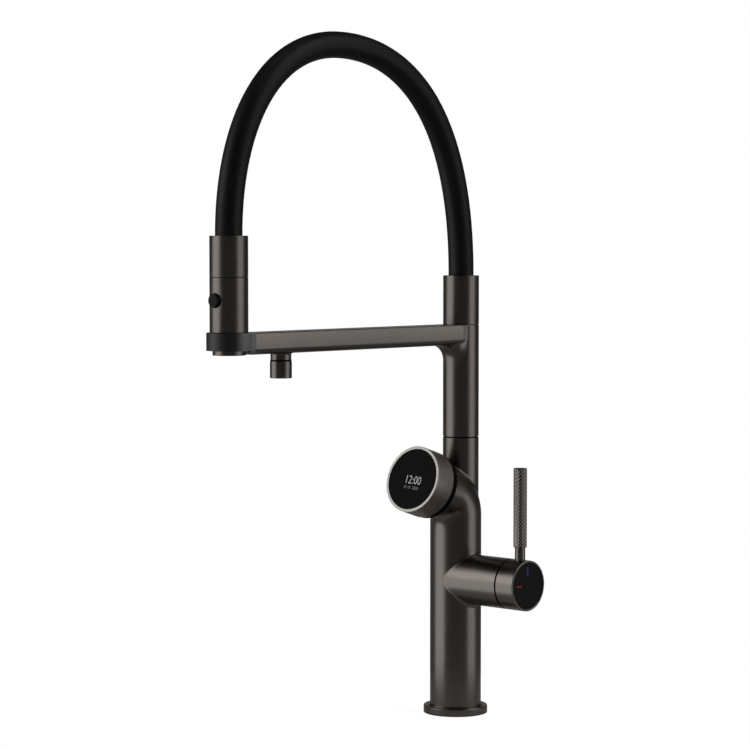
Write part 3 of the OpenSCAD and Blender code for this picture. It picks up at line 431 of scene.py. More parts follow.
def cosineBetween(fieldA, fieldB, points, low, high):
    turnA, turnB = slope(fieldA, points), slope(fieldB, points)
    turnA /= np.linalg.norm(turnA, axis=1, keepdims=True) + tiny
    turnB /= np.linalg.norm(turnB, axis=1, keepdims=True) + tiny
    return np.clip((turnA * turnB).sum(1), low, high)


# a rolled inner corner of one radius
def filleted(fieldA, fieldB, radius, side):
    def field(points):
        a, b = fieldA(points), fieldB(points)
        result = np.minimum(a, b)
        near = (a < radius) & (b < radius) & (result > -0.8 * radius) & side(points)
        if near.any():
            c = cosineBetween(fieldA, fieldB, points[near], -nearlyLevel, nearlyLevel)
            p, q = a[near] - radius, b[near] - radius
            between = (c * q - p > 0) & (c * p - q > 0)
            ball = radius - np.sqrt(np.maximum(p * p + q * q - 2 * p * q * c, 0) / (1 - c * c))
            result[near] = np.where(between, ball, result[near])
        return result
    return field


# a soft join that fades out where the two surfaces run the same way
def blended(fieldA, fieldB, width, side):
    def field(points):
        a, b = fieldA(points), fieldB(points)
        result = np.minimum(a, b)
        near = (np.abs(a - b) < width) & (np.abs(result) < width) & side(points)
        if near.any():
            reach = width * (1 - cosineBetween(fieldA, fieldB, points[near], 0, 1)) ** 2 + 1e-9
            overlap = np.maximum(reach - np.abs(a[near] - b[near]), 0)
            result[near] -= overlap * overlap / (4 * reach)
        return result
    return field


def upCylinder(y, radius, low=-1.0, high=1.0):
    def field(p):
        side = np.hypot(p[:, 0], p[:, 1] - y) - radius
        return np.maximum(side, np.maximum(low - p[:, 2], p[:, 2] - high))
    return field


# one point in each cell that the surface crosses, one face round each crossed edge of the grid
def skinOf(name, field, xs, ys, zs):
    grid = np.stack(np.meshgrid(xs, ys, zs, indexing="ij"), -1)
    value = field(grid.reshape(-1, 3)).reshape(grid.shape[:3])
    cells = tuple(n - 1 for n in value.shape)
    total, count = np.zeros(cells + (3,)), np.zeros(cells)
    quads = []
    for axis in range(3):
        low, high = [slice(None)] * 3, [slice(None)] * 3
        low[axis], high[axis] = slice(0, -1), slice(1, None)
        a, b = value[tuple(low)], value[tuple(high)]
        crossed = (a < 0) != (b < 0)
        share = (a[crossed] / (a[crossed] - b[crossed]))[:, None]
        start, end = grid[tuple(low)][crossed], grid[tuple(high)][crossed]
        spots = start + share * (end - start)
        places = np.argwhere(crossed)
        u, v = [k for k in range(3) if k != axis]
        ring = []
        for du, dv in ((-1, -1), (0, -1), (0, 0), (-1, 0)):
            cell = places.copy()
            cell[:, u] += du
            cell[:, v] += dv
            ring.append(cell)
            np.add.at(total, tuple(cell.T), spots)
            np.add.at(count, tuple(cell.T), 1)
        outward = (a[crossed] < 0) != (axis == 1)
        quads.append((ring, outward))
    used = count > 0
    number = np.full(cells, -1)
    number[used] = np.arange(used.sum())
    points = total[used] / count[used][:, None]
    for _ in range(3):
        lean = slope(field, points)
        points -= (field(points) / np.maximum((lean * lean).sum(1), 0.2))[:, None] * lean
    faces = []
    for ring, outward in quads:
        corners = np.stack([number[tuple(cell.T)] for cell in ring], 1)
        corners[~outward] = corners[~outward][:, ::-1]
        faces.extend(corners.tolist())
    print(name, len(points), "points")
    return meshPiece(name, points, faces)


def cutFlat(piece, spot, normal):
    only(piece)
    bpy.ops.object.mode_set(mode="EDIT")
    bpy.ops.mesh.select_all(action="SELECT")
    bpy.ops.mesh.bisect(plane_co=spot, plane_no=normal, use_fill=True, clear_outer=True, threshold=1e-7)
    bpy.ops.object.mode_set(mode="OBJECT")


# places of the grid's planes: from, to and distance in mm
def steps(*runs):
    parts = [np.arange(low, high, step) for low, high, step in runs]
    return np.concatenate(parts + [[runs[-1][1]]]) * mm


bodyShape = {
    "columnR": 20 * mm, "boreR": 17 * mm, "bendZ": 155.2 * mm, "bendR": 21 * mm, "tilt": neckTilt,
    "neckL": 16 * mm, "upperR": 14 * mm, "upperBore": 11 * mm, "upperY": 5.85 * mm, "seamZ": 216.1 * mm,
    "valveZ": 106 * mm, "valveR": 19.5 * mm, "branchEnd": 55.8 * mm, "valveBore": 12.6 * mm, "nutBore": 15 * mm,
    "nutX": 43.9 * mm, "footZ": 6.6 * mm, "footR": 19.2 * mm, "flangeZ": 6 * mm,
    "crease": 1.3 * mm, "branchFillet": 2.8 * mm, "seamGap": 0.25 * mm,
    "underNeck": 22 * mm, "underNeckReach": 18 * mm,
    "spare": 2.5 * mm,           # what the skin is longer by before it is cut flat
    "footSides": 96,
}


# where the neck leaves the bend, and which way it points
def neckLine():
    s = bodyShape
    out = -math.sin(s["tilt"]), math.cos(s["tilt"])
    return (-s["bendR"] * (1 - out[1]), s["bendZ"] - s["bendR"] * out[0]), out


def bentPipe(radius, end):
    s = bodyShape
    (startY, startZ), (outY, outZ) = neckLine()

    def field(p):
        x, y, z = p.T
        straight = np.sqrt(x * x + y * y + np.maximum(z - s["bendZ"], 0) ** 2) - radius
        awayY, awayZ = y + s["bendR"], z - s["bendZ"]
        # the nearer end of the arc counts where a point lies beyond it
        half = s["tilt"] / 2
        turn = np.clip((np.arctan2(awayZ, awayY) - half + math.pi) % (2 * math.pi) - math.pi, -half, half) + half
        arc = np.sqrt(
            x * x + (awayY - s["bendR"] * np.cos(turn)) ** 2 + (awayZ - s["bendR"] * np.sin(turn)) ** 2
        ) - radius
        along = np.maximum((y - startY) * outY + (z - startZ) * outZ, 0)
        neck = np.sqrt(x * x + (y - startY - along * outY) ** 2 + (z - startZ - along * outZ) ** 2) - radius
        beyond = (y - startY) * outY + (z - startZ) * outZ - end
        return np.minimum(np.minimum(straight, arc), np.maximum(neck, beyond))
    return field


# fills the inside of the bend as one soft roll
def rollUnderNeck():
    s = bodyShape
    (startY, startZ), (outY, outZ) = neckLine()

    def neck(p):
        return np.hypot(p[:, 0], (p[:, 1] - startY) * outZ - (p[:, 2] - startZ) * outY) - s["columnR"]

    def inReach(p):
        return np.hypot(p[:, 1] + s["bendR"], p[:, 2] - s["bendZ"]) - s["underNeckReach"]

    joined = blended(upCylinder(0, s["columnR"]), neck, s["underNeck"], lambda p: inReach(p) < 2 * mm)
    return lambda p: np.maximum(joined(p), inReach(p))


def sideCylinder(radius, low, high):
    def field(p):
        side = np.hypot(p[:, 1], p[:, 2] - bodyShape["valveZ"]) - radius
        return np.maximum(side, np.maximum(low - p[:, 0], p[:, 0] - high))
    return field


def makeMainBody():
    s = bodyShape
    spare, slimFoot = s["spare"], s["bendZ"] + 2 * mm
    bend, roll = bentPipe(s["columnR"], s["neckL"] + spare), rollUnderNeck()
    slim = upCylinder(s["upperY"], s["upperR"], slimFoot, s["seamZ"] + spare)
    branch = sideCylinder(s["valveR"], 0, s["branchEnd"] + spare)
    twin = filleted(lambda p: np.minimum(bend(p), roll(p)), slim, s["crease"], lambda p: p[:, 2] > slimFoot)
    outer = filleted(twin, branch, s["branchFillet"], lambda p: p[:, 0] > 0)
    bores = [
        bentPipe(s["boreR"], s["neckL"] + 2 * spare),
        upCylinder(s["upperY"], s["upperBore"], s["bendZ"], 1),
        sideCylinder(s["valveBore"], 0, s["nutX"]),
        sideCylinder(s["nutBore"], s["nutX"], 1),
    ]

    def field(p):
        hollow = np.minimum.reduce([bore(p) for bore in bores])
        return np.maximum(np.maximum(outer(p), -hollow), 4 * mm - p[:, 2])

    piece = skinOf(
        "column_body", field,
        steps((-21.4, 60.2, 0.85)),
        steps((-36.2, 21.6, 0.85)),
        steps((2.2, 78, 2.4), (78, 220.4, 0.85)),
    )
    start, out = (Vector((0, *pair)) for pair in neckLine())
    cutFlat(piece, (0, 0, s["footZ"]), (0, 0, -1))
    cutFlat(piece, (s["branchEnd"], 0, 0), (1, 0, 0))
    cutFlat(piece, start + out * s["neckL"], out)
    cutFlat(piece, (0, 0, s["seamZ"] - s["seamGap"]), (0, 0, 1))
    # the foot's shadow groove
    deselectAll()
    bpy.ops.mesh.primitive_circle_add(vertices=s["footSides"], radius=s["footR"], location=(0, 0, s["flangeZ"]))
    foot = bpy.context.object
    bpy.ops.object.mode_set(mode="EDIT")
    bpy.ops.mesh.select_all(action="SELECT")
    bpy.ops.mesh.extrude_region_move(TRANSFORM_OT_translate={"value": (0, 0, s["footZ"] - s["flangeZ"])})
    bpy.ops.mesh.select_all(action="SELECT")
    bpy.ops.object.mode_set(mode="OBJECT")
    thick = foot.modifiers.new("wall", "SOLIDIFY")
    thick.thickness = s["footR"] - s["boreR"]
    thick.offset = -1
    bpy.ops.object.modifier_apply(modifier="wall")
    placeInMesh(foot)
    only(piece)
    foot.select_set(True)
    bpy.ops.object.join()
    smoothPiece(piece)
    dress(piece, gunmetalBody)
    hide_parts("main_body")
    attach(piece, "root")


armShape = {
    "top": 304.3 * mm, "bottom": 288.7 * mm, "width": 23 * mm, "widthAtColumn": 24.6 * mm, "wall": 2.8 * mm,
    "roundLow": 5.2 * mm, "roundTop": 1.2 * mm, "corner": 17 * mm, "endY": -228.796 * mm,
    "foot": 216.95 * mm, "upperR": 14 * mm, "boreR": 11 * mm, "upperY": 5.85 * mm,
    "spigotR": 12.4 * mm, "spigotZ": 312.3 * mm, "outletY": -192.7 * mm, "outletR": 5.1 * mm,
    "spare": 3 * mm,
}


def makeArm():
    s = armShape
    low = s["roundLow"]

    def halfAt(y):
        share = np.clip((y - s["endY"]) / (s["upperY"] - s["endY"]), 0, 1)
        return (s["width"] + (s["widthAtColumn"] - s["width"]) * share) / 2

    def bar(p):
        x, y, z = np.abs(p[:, 0]), p[:, 1], p[:, 2]
        half = halfAt(y)
        # a section that is open at the top: sides and a rounded underside
        u, v = x - (half - low), (s["bottom"] + low) - z
        section = np.hypot(np.maximum(u, 0), np.maximum(v, 0)) + np.minimum(np.maximum(u, v), 0) - low
        return np.maximum(section, np.maximum(y - s["upperY"], s["endY"] - s["spare"] - y))

    column = upCylinder(s["upperY"], s["upperR"], s["foot"] - s["spare"], 1)
    joined = blended(bar, column, s["corner"], lambda p: p[:, 1] < s["upperY"])
    spigot = upCylinder(s["upperY"], s["spigotR"], s["top"] - 2 * mm, s["spigotZ"])
    bore = upCylinder(s["upperY"], s["boreR"], -1, 1)
    outlet = upCylinder(s["outletY"], s["outletR"], s["bottom"] - 5 * mm, s["bottom"] + 5 * mm)

    def cavity(p):
        x, y, z = np.abs(p[:, 0]), p[:, 1], p[:, 2]
        wide = x - (s["width"] / 2 - s["wall"])
        high = np.maximum(s["bottom"] + s["wall"] - z, z - (s["top"] - s["wall"]))
        return np.maximum(np.maximum(wide, high), y - s["upperY"])

    def field(p):
        r = s["roundTop"]
        side, above = joined(p), p[:, 2] - s["top"]
        u, v = np.maximum(side + r, 0), np.maximum(above + r, 0)
        shell = np.hypot(u, v) + np.minimum(np.maximum(side + r, above + r), 0) - r
        shell = np.minimum(shell, spigot(p))
        return np.maximum(shell, -np.minimum.reduce([bore(p), outlet(p), cavity(p)]))

    piece = skinOf(
        "arm_and_column", field,
        steps((-14.8, -12.8, 0.5), (-12.8, -10.2, 0.3), (-10.2, 10.2, 0.7), (10.2, 12.8, 0.3), (12.8, 14.8, 0.5)),
        steps((-233.4, -229, 2.2), (-229, -199.8, 3), (-199.8, -185.6, 0.7), (-185.6, -36, 4), (-36, 22, 0.7)),
        steps(
            (212.4, 264, 2.4), (264, 287, 0.7), (287, 294.6, 0.45), (294.6, 302.4, 0.7), (302.4, 305.4, 0.3),
            (305.4, 313.8, 0.8),
        ),
    )
    cutFlat(piece, (0, 0, s["foot"]), (0, 0, -1))
    cutFlat(piece, (0, s["endY"], 0), (0, -1, 0))
    smoothPiece(piece)
    dress(piece, gunmetalArm)
    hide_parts("swivel_arm")
    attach(piece, "swivel")


makeMainBody()
makeArm()
print("column and arm done")


# hose, with its spring and inner tube

hoseShape = {
    "radius": 9.8 * mm, "columnFoot": (5.85, 342.4), "sprayFoot": (-244.6, 373.6), "top": (-130.896, 514.0),
    "grip": 12, "columnRise": 0.69, "columnLevel": 0.57, "sprayRise": 0.59, "sprayLevel": 0.61,
    "coilR": 7.55 * mm, "wireR": 0.5 * mm, "coilPitch": 4 * mm, "tubeR": 6.4 * mm,
}


def hosePoints():
    s = hoseShape
    (ya, za), (yb, zb), (yt, zt) = s["columnFoot"], s["sprayFoot"], s["top"]
    third = s["grip"] / 3
    riseA, riseB = s["columnRise"] * (zt - za), s["sprayRise"] * (zt - zb)
    levelA, levelB = s["columnLevel"] * (ya - yt), s["sprayLevel"] * (yb - yt)
    # place, handle before, handle after
    return [
        ((ya, za - s["grip"]), (ya, za - s["grip"] - third), (ya, za - s["grip"] + third)),
        ((ya, za), (ya, za - third), (ya, za + riseA)),
        ((yt, zt), (yt + levelA, zt), (yt + levelB, zt)),
        ((yb, zb), (yb, zb + riseB), (yb, zb - third)),
        ((yb, zb - s["grip"]), (yb, zb - s["grip"] + third), (yb, zb - s["grip"] - third)),
    ]


def hoseTube(name, radius, smoothness, around):
    deselectAll()
    bpy.ops.curve.primitive_bezier_curve_add(location=(0, 0, 0))
    piece = bpy.context.object
    piece.name = name
    curve = piece.data
    spline = curve.splines[0]
    stations = hosePoints()
    spline.bezier_points.add(len(stations) - 2)
    for point, (place, before, after) in zip(spline.bezier_points, stations):
        point.handle_left_type = point.handle_right_type = "FREE"
        point.co = (0, place[0] * mm, place[1] * mm)
        point.handle_left = (0, before[0] * mm, before[1] * mm)
        point.handle_right = (0, after[0] * mm, after[1] * mm)
    curve.dimensions = "3D"
    curve.resolution_u = smoothness
    curve.bevel_depth = radius
    curve.bevel_resolution = around
    curve.use_fill_caps = True
    only(piece)
    bpy.ops.object.convert(target="MESH")
    piece = bpy.context.object
    smoothPiece(piece, 40)
    return piece


def hoseLine(count):
    stations = hosePoints()
    line = []
    for (a, _, afterA), (b, beforeB, _) in zip(stations, stations[1:]):
        for t in np.linspace(0, 1, count, endpoint=False):
            line.append(
                (1 - t) ** 3 * np.array(a) + 3 * (1 - t) ** 2 * t * np.array(afterA)
                + 3 * (1 - t) * t * t * np.array(beforeB) + t ** 3 * np.array(b)
            )
    line.append(np.array(stations[-1][0]))
    return np.array(line) * mm


def makeHose():
    s = hoseShape
    hose = hoseTube("hose_sleeve", s["radius"], 40, 16)
    dress(hose, finishes["hose"])
    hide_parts("hose")
    tube = hoseTube("hose_water_tube", s["tubeR"], 24, 4)
    dress(tube, finishes["tube"])
    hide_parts("hose_inner_tube")
    line = hoseLine(200)
    length = np.concatenate([[0], np.cumsum(np.linalg.norm(np.diff(line, axis=0), axis=1))])
    turns = int(length[-1] / s["coilPitch"])
    along = np.linspace(0, length[-1], turns * 10 + 1)
    spots = np.stack([np.interp(along, length, line[:, k]) for k in range(2)], 1)
    ways = np.gradient(spots, axis=0)
    ways /= np.linalg.norm(ways, axis=1, keepdims=True)
    angle = along / s["coilPitch"] * 2 * math.pi
    side, up = s["coilR"] * np.cos(angle), s["coilR"] * np.sin(angle)
    coil = bpy.data.curves.new("hose_coil", "CURVE")
    coil.dimensions = "3D"
    spline = coil.splines.new("POLY")
    spline.points.add(len(along) - 1)
    for k, point in enumerate(spline.points):
        point.co = (side[k], spots[k, 0] - up[k] * ways[k, 1], spots[k, 1] + up[k] * ways[k, 0], 1)
    coil.bevel_depth = s["wireR"]
    coil.bevel_resolution = 1
    coil.use_fill_caps = True
    spring = bpy.data.objects.new("hose_coil", coil)
    scene.collection.objects.link(spring)
    only(spring)
    bpy.ops.object.convert(target="MESH")
    spring = bpy.context.object
    smoothPiece(spring, 60)
    dress(spring, finishes["steel"])
    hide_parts("hose_spring")
    for piece in (hose, tube, spring):
        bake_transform(piece)
    print("hose length", round(float(length[-1]), 4))


makeHose()
print("hose done")


# knurled grip

def makeGrip():
    s = gripShape
    per = s["perDiamond"]
    n = s["diamonds"] * per
    low, high = s["bottom"] + s["edge"], s["top"] - s["edge"]
    rows = round((high - low) / (2 * math.pi * s["topR"] / n))
    rings = [(s["boreR"], s["boreTop"]), (s["boreR"], s["bottom"]), (s["topR"] - s["edge"], s["bottom"])]
    rings += [(None, low + (high - low) * k / rows) for k in range(rows + 1)]
    rings.append((s["topR"] - s["edge"], s["top"]))
    points, faces = [], []
    for k, (radius, z) in enumerate(rings):
        for j in range(n):
            # steps to the nearest groove of each slant
            fromGroove = min(min((j + k) % per, -(j + k) % per), min((j - k) % per, -(j - k) % per))
            r = radius or s["grooveR"] + (s["topR"] - s["grooveR"]) * min(1, fromGroove / s["slopeSteps"])
            turn = 2 * math.pi * j / n
            points.append((s["x"] + r * math.cos(turn), r * math.sin(turn), z))
    for k in range(len(rings) - 1):
        for j in range(n):
            a, b = k * n + j, k * n + (j + 1) % n
            c, d = (k + 1) * n + (j + 1) % n, (k + 1) * n + j
            if (j - k) % per == 0:
                faces += [(a, b, c), (a, c, d)]
            else:
                faces += [(a, b, d), (b, c, d)]
    for z, ring in ((s["boreTop"], 0), (s["top"], len(rings) - 1)):
        centre = len(points)
        points.append((s["x"], 0, z))
        for j in range(n):
            a, b = ring * n + j, ring * n + (j + 1) % n
            faces.append((centre, a, b) if ring else (centre, b, a))
    grip = meshPiece("knurled_grip", points, faces)
    dress(grip, finishes["knurl"])
    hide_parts("lever_grip")
    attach(grip, "handle")


makeGrip()
print("grip done")


# pieces of revolution: a softened outline, spun round an axis

def softened(corners, arcPoints=7):
    line = []
    for k, (radius, along, size) in enumerate(corners):
        spot = np.array((radius, along))
        if not size:
            line.append(spot)
            continue
        back = np.array(corners[k - 1][:2]) - spot
        on = np.array(corners[(k + 1) % len(corners)][:2]) - spot
        back, on = back / np.linalg.norm(back), on / np.linalg.norm(on)
        half = math.acos(np.clip(back @ on, -1, 1)) / 2
        centre = spot + (back + on) / np.linalg.norm(back + on) * size / math.sin(half)
        start = spot + back * size / math.tan(half) - centre
        end = spot + on * size / math.tan(half) - centre
        sweep = math.pi - 2 * half
        for t in np.linspace(0, 1, arcPoints):
            line.append(centre + (start * math.sin((1 - t) * sweep) + end * math.sin(t * sweep)) / math.sin(sweep))
    # a close ring beside each corner keeps the shading of the straights even
    beside, longEnough = 0.12, 0.8
    closeRings = []
    for k, spot in enumerate(line):
        closeRings.append(spot)
        on = line[(k + 1) % len(line)] - spot
        length = np.linalg.norm(on)
        if length > longEnough and (k + 1 < len(line) or corners[0][0] > 0):
            closeRings += [spot + on / length * beside, spot + on * (1 - beside / length)]
    return closeRings


def turned(name, corners, spot, axis, around=144):
    outline = [(r * mm, 0, along * mm) for r, along in softened(corners)]
    edges = [(k, k + 1) for k in range(len(outline) - 1)]
    if corners[0][0] > 0:
        edges.append((len(outline) - 1, 0))
    mesh = bpy.data.meshes.new(name)
    mesh.from_pydata(outline, edges, [])
    piece = bpy.data.objects.new(name, mesh)
    scene.collection.objects.link(piece)
    only(piece)
    bpy.ops.object.mode_set(mode="EDIT")
    bpy.ops.mesh.select_all(action="SELECT")
    bpy.ops.mesh.spin(steps=around, angle=2 * math.pi, dupli=False, center=(0, 0, 0), axis=(0, 0, 1))
    bpy.ops.mesh.select_all(action="SELECT")
    bpy.ops.mesh.remove_doubles(threshold=0.001 * mm)
    bpy.ops.mesh.normals_make_consistent(inside=False)
    bpy.ops.object.mode_set(mode="OBJECT")
    turn = Vector((0, 0, 1)).rotation_difference(Vector(axis)).to_matrix().to_4x4()
    piece.data.transform(Matrix.Translation(Vector(spot) * mm) @ turn)
    smoothPiece(piece, 35)
    return piece


neckSpot, neckWay = (0, -14.511, 175.172), (0, -0.951057, 0.309017)
valveSpot, valveWay = (0, 0, 106), (1, 0, 0)

# each corner is radius, place along the axis and how far it is rounded, in mm
turnedPieces = {
    "bright_rim": {
        "spot": neckSpot, "axis": neckWay, "node": "dial_rim", "body": "dial", "slot": "polished_metal",
        "finish": finishes["rim"],
        "corners": [(23.75, 37.32, 0), (26, 37.32, 0), (26, 38, 0.3), (23.75, 38, 0.2)],
    },
    "dial_barrel": {
        "spot": neckSpot, "axis": neckWay, "node": "dial_sleeve", "body": "dial", "slot": "gunmetal",
        "finish": gunmetalDial,
        "corners": [(24, 19.5, 0), (26, 19.5, 0.25), (26, 37.32, 0), (24, 37.32, 0)],
    },
    "dial_black_ring": {
        "spot": neckSpot, "axis": neckWay, "node": "dial_gap_ring", "body": "root", "slot": "black_plastic",
        "finish": finishes["gap"],
        "corners": [
            (12.2, 16.02, 0), (20.1, 16.02, 0), (20.1, 14.3, 0),
            (25.4, 14.3, 0.2), (25.4, 19.4, 0.2), (12.2, 19.4, 0),
        ],
    },
    "valve_cap": {
        "spot": valveSpot, "axis": valveWay, "node": "handle_cap", "body": "handle", "slot": "gunmetal",
        "finish": gunmetalAcross,
        "corners": [
            (0, 72.2, 0), (17.9, 72.2, 0), (17.9, 73.8, 0.35), (19.5, 73.8, 0.6), (19.5, 57.2, 0.2),
            (17, 57.2, 0), (17, 60.2, 0), (4.2, 60.2, 0), (4.2, 71, 0), (0, 71, 0),
        ],
    },
    "valve_face": {
        "spot": valveSpot, "axis": valveWay, "node": "handle_face", "body": "handle", "slot": "black_glass",
        "finish": finishes["face"],
        "corners": [(0, 72.2, 0), (17.8, 72.2, 0), (17.8, 73.1, 0.15), (0, 73.1, 0)],
    },
    "outlet_seam_ring": {
        "spot": (0, -192.7, 0), "axis": (0, 0, 1), "node": "outlet_seal", "body": "swivel", "slot": "rubber",
        "finish": finishes["gap"],
        "corners": [(2, 282.8, 0), (7.68, 282.8, 0), (7.68, 283.9, 0), (2, 283.9, 0)],
    },
    "seam_washer": {
        "spot": (0, 5.85, 0), "axis": (0, 0, 1), "node": "swivel_washer", "body": "root", "slot": "black_plastic",
        "finish": finishes["gap"],
        "corners": [(8.2, 215.85, 0), (13.4, 215.85, 0), (13.4, 216.95, 0), (8.2, 216.95, 0)],
    },
    "push_button": {
        "spot": (0, -244.6, 327.8), "axis": (0, -1, 0), "node": "spray_button", "body": "button",
        "slot": "black_plastic", "finish": finishes["button"],
        "corners": [
            (0, 16.1, 0), (2.4, 16.06, 0), (4.0, 15.92, 0), (4.9, 15.6, 0.35), (4.9, 9.4, 0), (4, 9.4, 0),
            (4, 12.4, 0), (0, 12.4, 0),
        ],
    },
    "spray_seam_ring": {
        "spot": (0, -244.6, 0), "axis": (0, 0, 1), "node": None, "body": "spray_sleeve", "slot": "rubber",
        "finish": finishes["rubber"],
        "corners": [(12.9, 344.02, 0), (13.5, 344.02, 0), (13.5, 344.38, 0), (12.9, 344.38, 0)],
    },
}


def makeTurnedPieces():
    for name, s in turnedPieces.items():
        piece = turned(name, s["corners"], s["spot"], s["axis"])
        dress(piece, s["finish"])
        if s["node"]:
            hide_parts(s["node"])
        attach(piece, s["body"])


makeTurnedPieces()
print("turned pieces done")


# marks on the handle's face

markShape = {
    "faceX": 73.1, "proud": 0.04, "softEdge": 0.03,
    "marks": {
        "blue": {
            "y": 0, "z": 117, "wide": 1.8, "high": 6.8,
            "dark": (0.050, 0.070, 0.22), "light": (0.065, 0.090, 0.28),
        },
        "red": {
            "y": -9.9, "z": 106.3, "wide": 6.6, "high": 1.3,
            "dark": (0.42, 0.030, 0.022), "light": (0.50, 0.040, 0.03),
        },
    },
}


def makeMarks():
    for name, s in markShape["marks"].items():
        deselectAll()
        bpy.ops.mesh.primitive_cube_add(size=1, location=(markShape["faceX"] * mm, s["y"] * mm, s["z"] * mm))
        mark = bpy.context.object
        mark.name = name + "_mark"
        mark.scale = (2 * markShape["proud"] * mm, s["wide"] * mm, s["high"] * mm)
        placeInMesh(mark)
        bpy.ops.object.mode_set(mode="EDIT")
        bpy.ops.mesh.select_all(action="SELECT")
        bpy.ops.mesh.bevel(offset=markShape["softEdge"] * mm, segments=2)
        bpy.ops.object.mode_set(mode="OBJECT")
        smoothPiece(mark, 40)
        dress(mark, plainFinish(name + "_paint", s["dark"], s["light"], (0.45, 0.55), 900, 0.005, specular=0.2))
        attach(mark, "handle")


makeMarks()


# lit digits of the display

digitShape = {
    "spot": (0, -49.984, 186.696),        # middle of the glass
    "lines": [
        {
            "name": "display_hours", "text": "12:00", "high": 6.3, "wide": 15.0, "right": 1.0, "up": -0.6,
            "light": 0.42, "thin": -0.014,
        },
        {
            "name": "display_date", "text": "01 01 2030", "high": 2.3, "wide": 14.6, "right": -0.2, "up": -6.6,
            "light": 0.14, "thin": -0.006,
        },
    ],
    "turn": -3,
    "proud": 0.03,
    "unlit": (0.02, 0.02, 0.02), "shimmer": (0.9, 1.1), "grain": 900, "rough": 0.4,
}


def litMaterial(name, light):
    material, tree, shader = newMaterial(name)
    s = digitShape
    shimmer = noise(tree, objectPattern(tree, s["grain"]), 1.0, 1.0)
    dim, bright = ((part * light,) * 3 for part in s["shimmer"])
    link(tree, tint(tree, shimmer, dim, bright), shader.inputs["Emission Color"])
    shader.inputs["Base Color"].default_value = (*s["unlit"], 1)
    shader.inputs["Emission Strength"].default_value = 1.0
    shader.inputs["Roughness"].default_value = s["rough"]
    return material


def makeDigits():
    right = Vector((1, 0, 0))
    up = Vector((0, math.cos(neckTilt), math.sin(neckTilt)))
    out = Vector((0, -math.sin(neckTilt), math.cos(neckTilt)))
    turn = Matrix.Rotation(math.radians(digitShape["turn"]), 4, "Z")
    stand = Matrix((right, up, out)).transposed().to_4x4()
    for s in digitShape["lines"]:
        deselectAll()
        bpy.ops.object.text_add(location=(0, 0, 0))
        digits = bpy.context.object
        digits.name = s["name"]
        digits.data.body = s["text"]
        digits.data.align_x = "CENTER"
        digits.data.align_y = "CENTER"
        digits.data.extrude = 0.01
        digits.data.resolution_u = 6
        digits.data.offset = s["thin"]
        only(digits)
        bpy.ops.object.convert(target="MESH")
        digits = bpy.context.object
        corners = np.array([v.co for v in digits.data.vertices])
        low, high = corners.min(0), corners.max(0)
        middle = (low + high) / 2
        fit = Matrix.Diagonal((
            s["wide"] * mm / (high[0] - low[0]), s["high"] * mm / (high[1] - low[1]),
            2 * digitShape["proud"] * mm / (high[2] - low[2]), 1,
        ))
        spot = Vector(digitShape["spot"]) * mm + right * s["right"] * mm + up * s["up"] * mm
        digits.data.transform(Matrix.Translation(spot) @ stand @ turn @ fit @ Matrix.Translation(-Vector(middle)))
        dress(digits, litMaterial(s["name"] + "_light", s["light"]))
        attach(digits, "root")


makeDigits()
print("marks and digits done")


# floor, light, camera

studio = {
    "toCamera": -46.98,          # heading of the camera seen from the column, degrees
    "aimedAt": (0, -0.1, 0.2),
    "away": 5,                   # distance of the boxes
    # turn is from the camera's heading, rise from the level, wide and high are angles, all in degrees
    "boxes": [
        {"name": "left_box", "turn": -80, "rise": 2, "wide": 52, "high": 74, "radiance": 1.10},
        {"name": "left_middle", "turn": -83, "rise": 18, "wide": 30, "high": 24, "radiance": 0.75},
        {"name": "right_box", "turn": 76.5, "rise": 4, "wide": 41, "high": 46, "radiance": 0.85},
        {"name": "right_high", "turn": 80, "rise": 44, "wide": 45, "high": 32, "radiance": 1.2},
        {"name": "top_box", "turn": 0, "rise": 90, "wide": 34, "high": 34, "radiance": 0.35},
    ],
    "fill": 0.047,
    "below": 0.08,               # what the metal mirrors from under the level
    "belowFrom": 0.03, "belowTo": 0.15,
    "backdropHalf": 28, "backdropSoft": 0.04,
    "backdropMirrored": 0.25,    # how bright the backdrop is where the metal mirrors it
    "floorR": 0.17, "floorSides": 96, "floorBase": 0.55, "floorRough": 0.8,
    "floorSeen": 0.9, "floorMirrored": 0.1,
}

photoCamera = {
    "place": (1.3150, -1.5029, 0.3760), "heading": (-0.682, 0.7314), "down": math.radians(3.19),
    "sensor": 36, "focalPixels": 2561.6, "framePixels": 750,
}


def panel(name, spot, target, wide, high, radiance):
    lamp = bpy.data.lights.new(name, "AREA")
    lamp.shape = "RECTANGLE"
    lamp.size, lamp.size_y = wide, high
    lamp.energy = radiance * math.pi * wide * high
    holder = bpy.data.objects.new(name, lamp)
    scene.collection.objects.link(holder)
    holder.location = spot
    holder.rotation_euler = (Vector(target) - Vector(spot)).to_track_quat("-Z", "Y").to_euler()
    holder.visible_camera = False


def makeLamps():
    aim, away = Vector(studio["aimedAt"]), studio["away"]
    for box in studio["boxes"]:
        heading, rise = math.radians(studio["toCamera"] + box["turn"]), math.radians(box["rise"])
        way = Vector((math.cos(heading) * math.cos(rise), math.sin(heading) * math.cos(rise), math.sin(rise)))
        wide, high = (2 * away * math.tan(math.radians(box[side] / 2)) for side in ("wide", "high"))
        panel(box["name"], aim + away * way, aim, wide, high, box["radiance"])


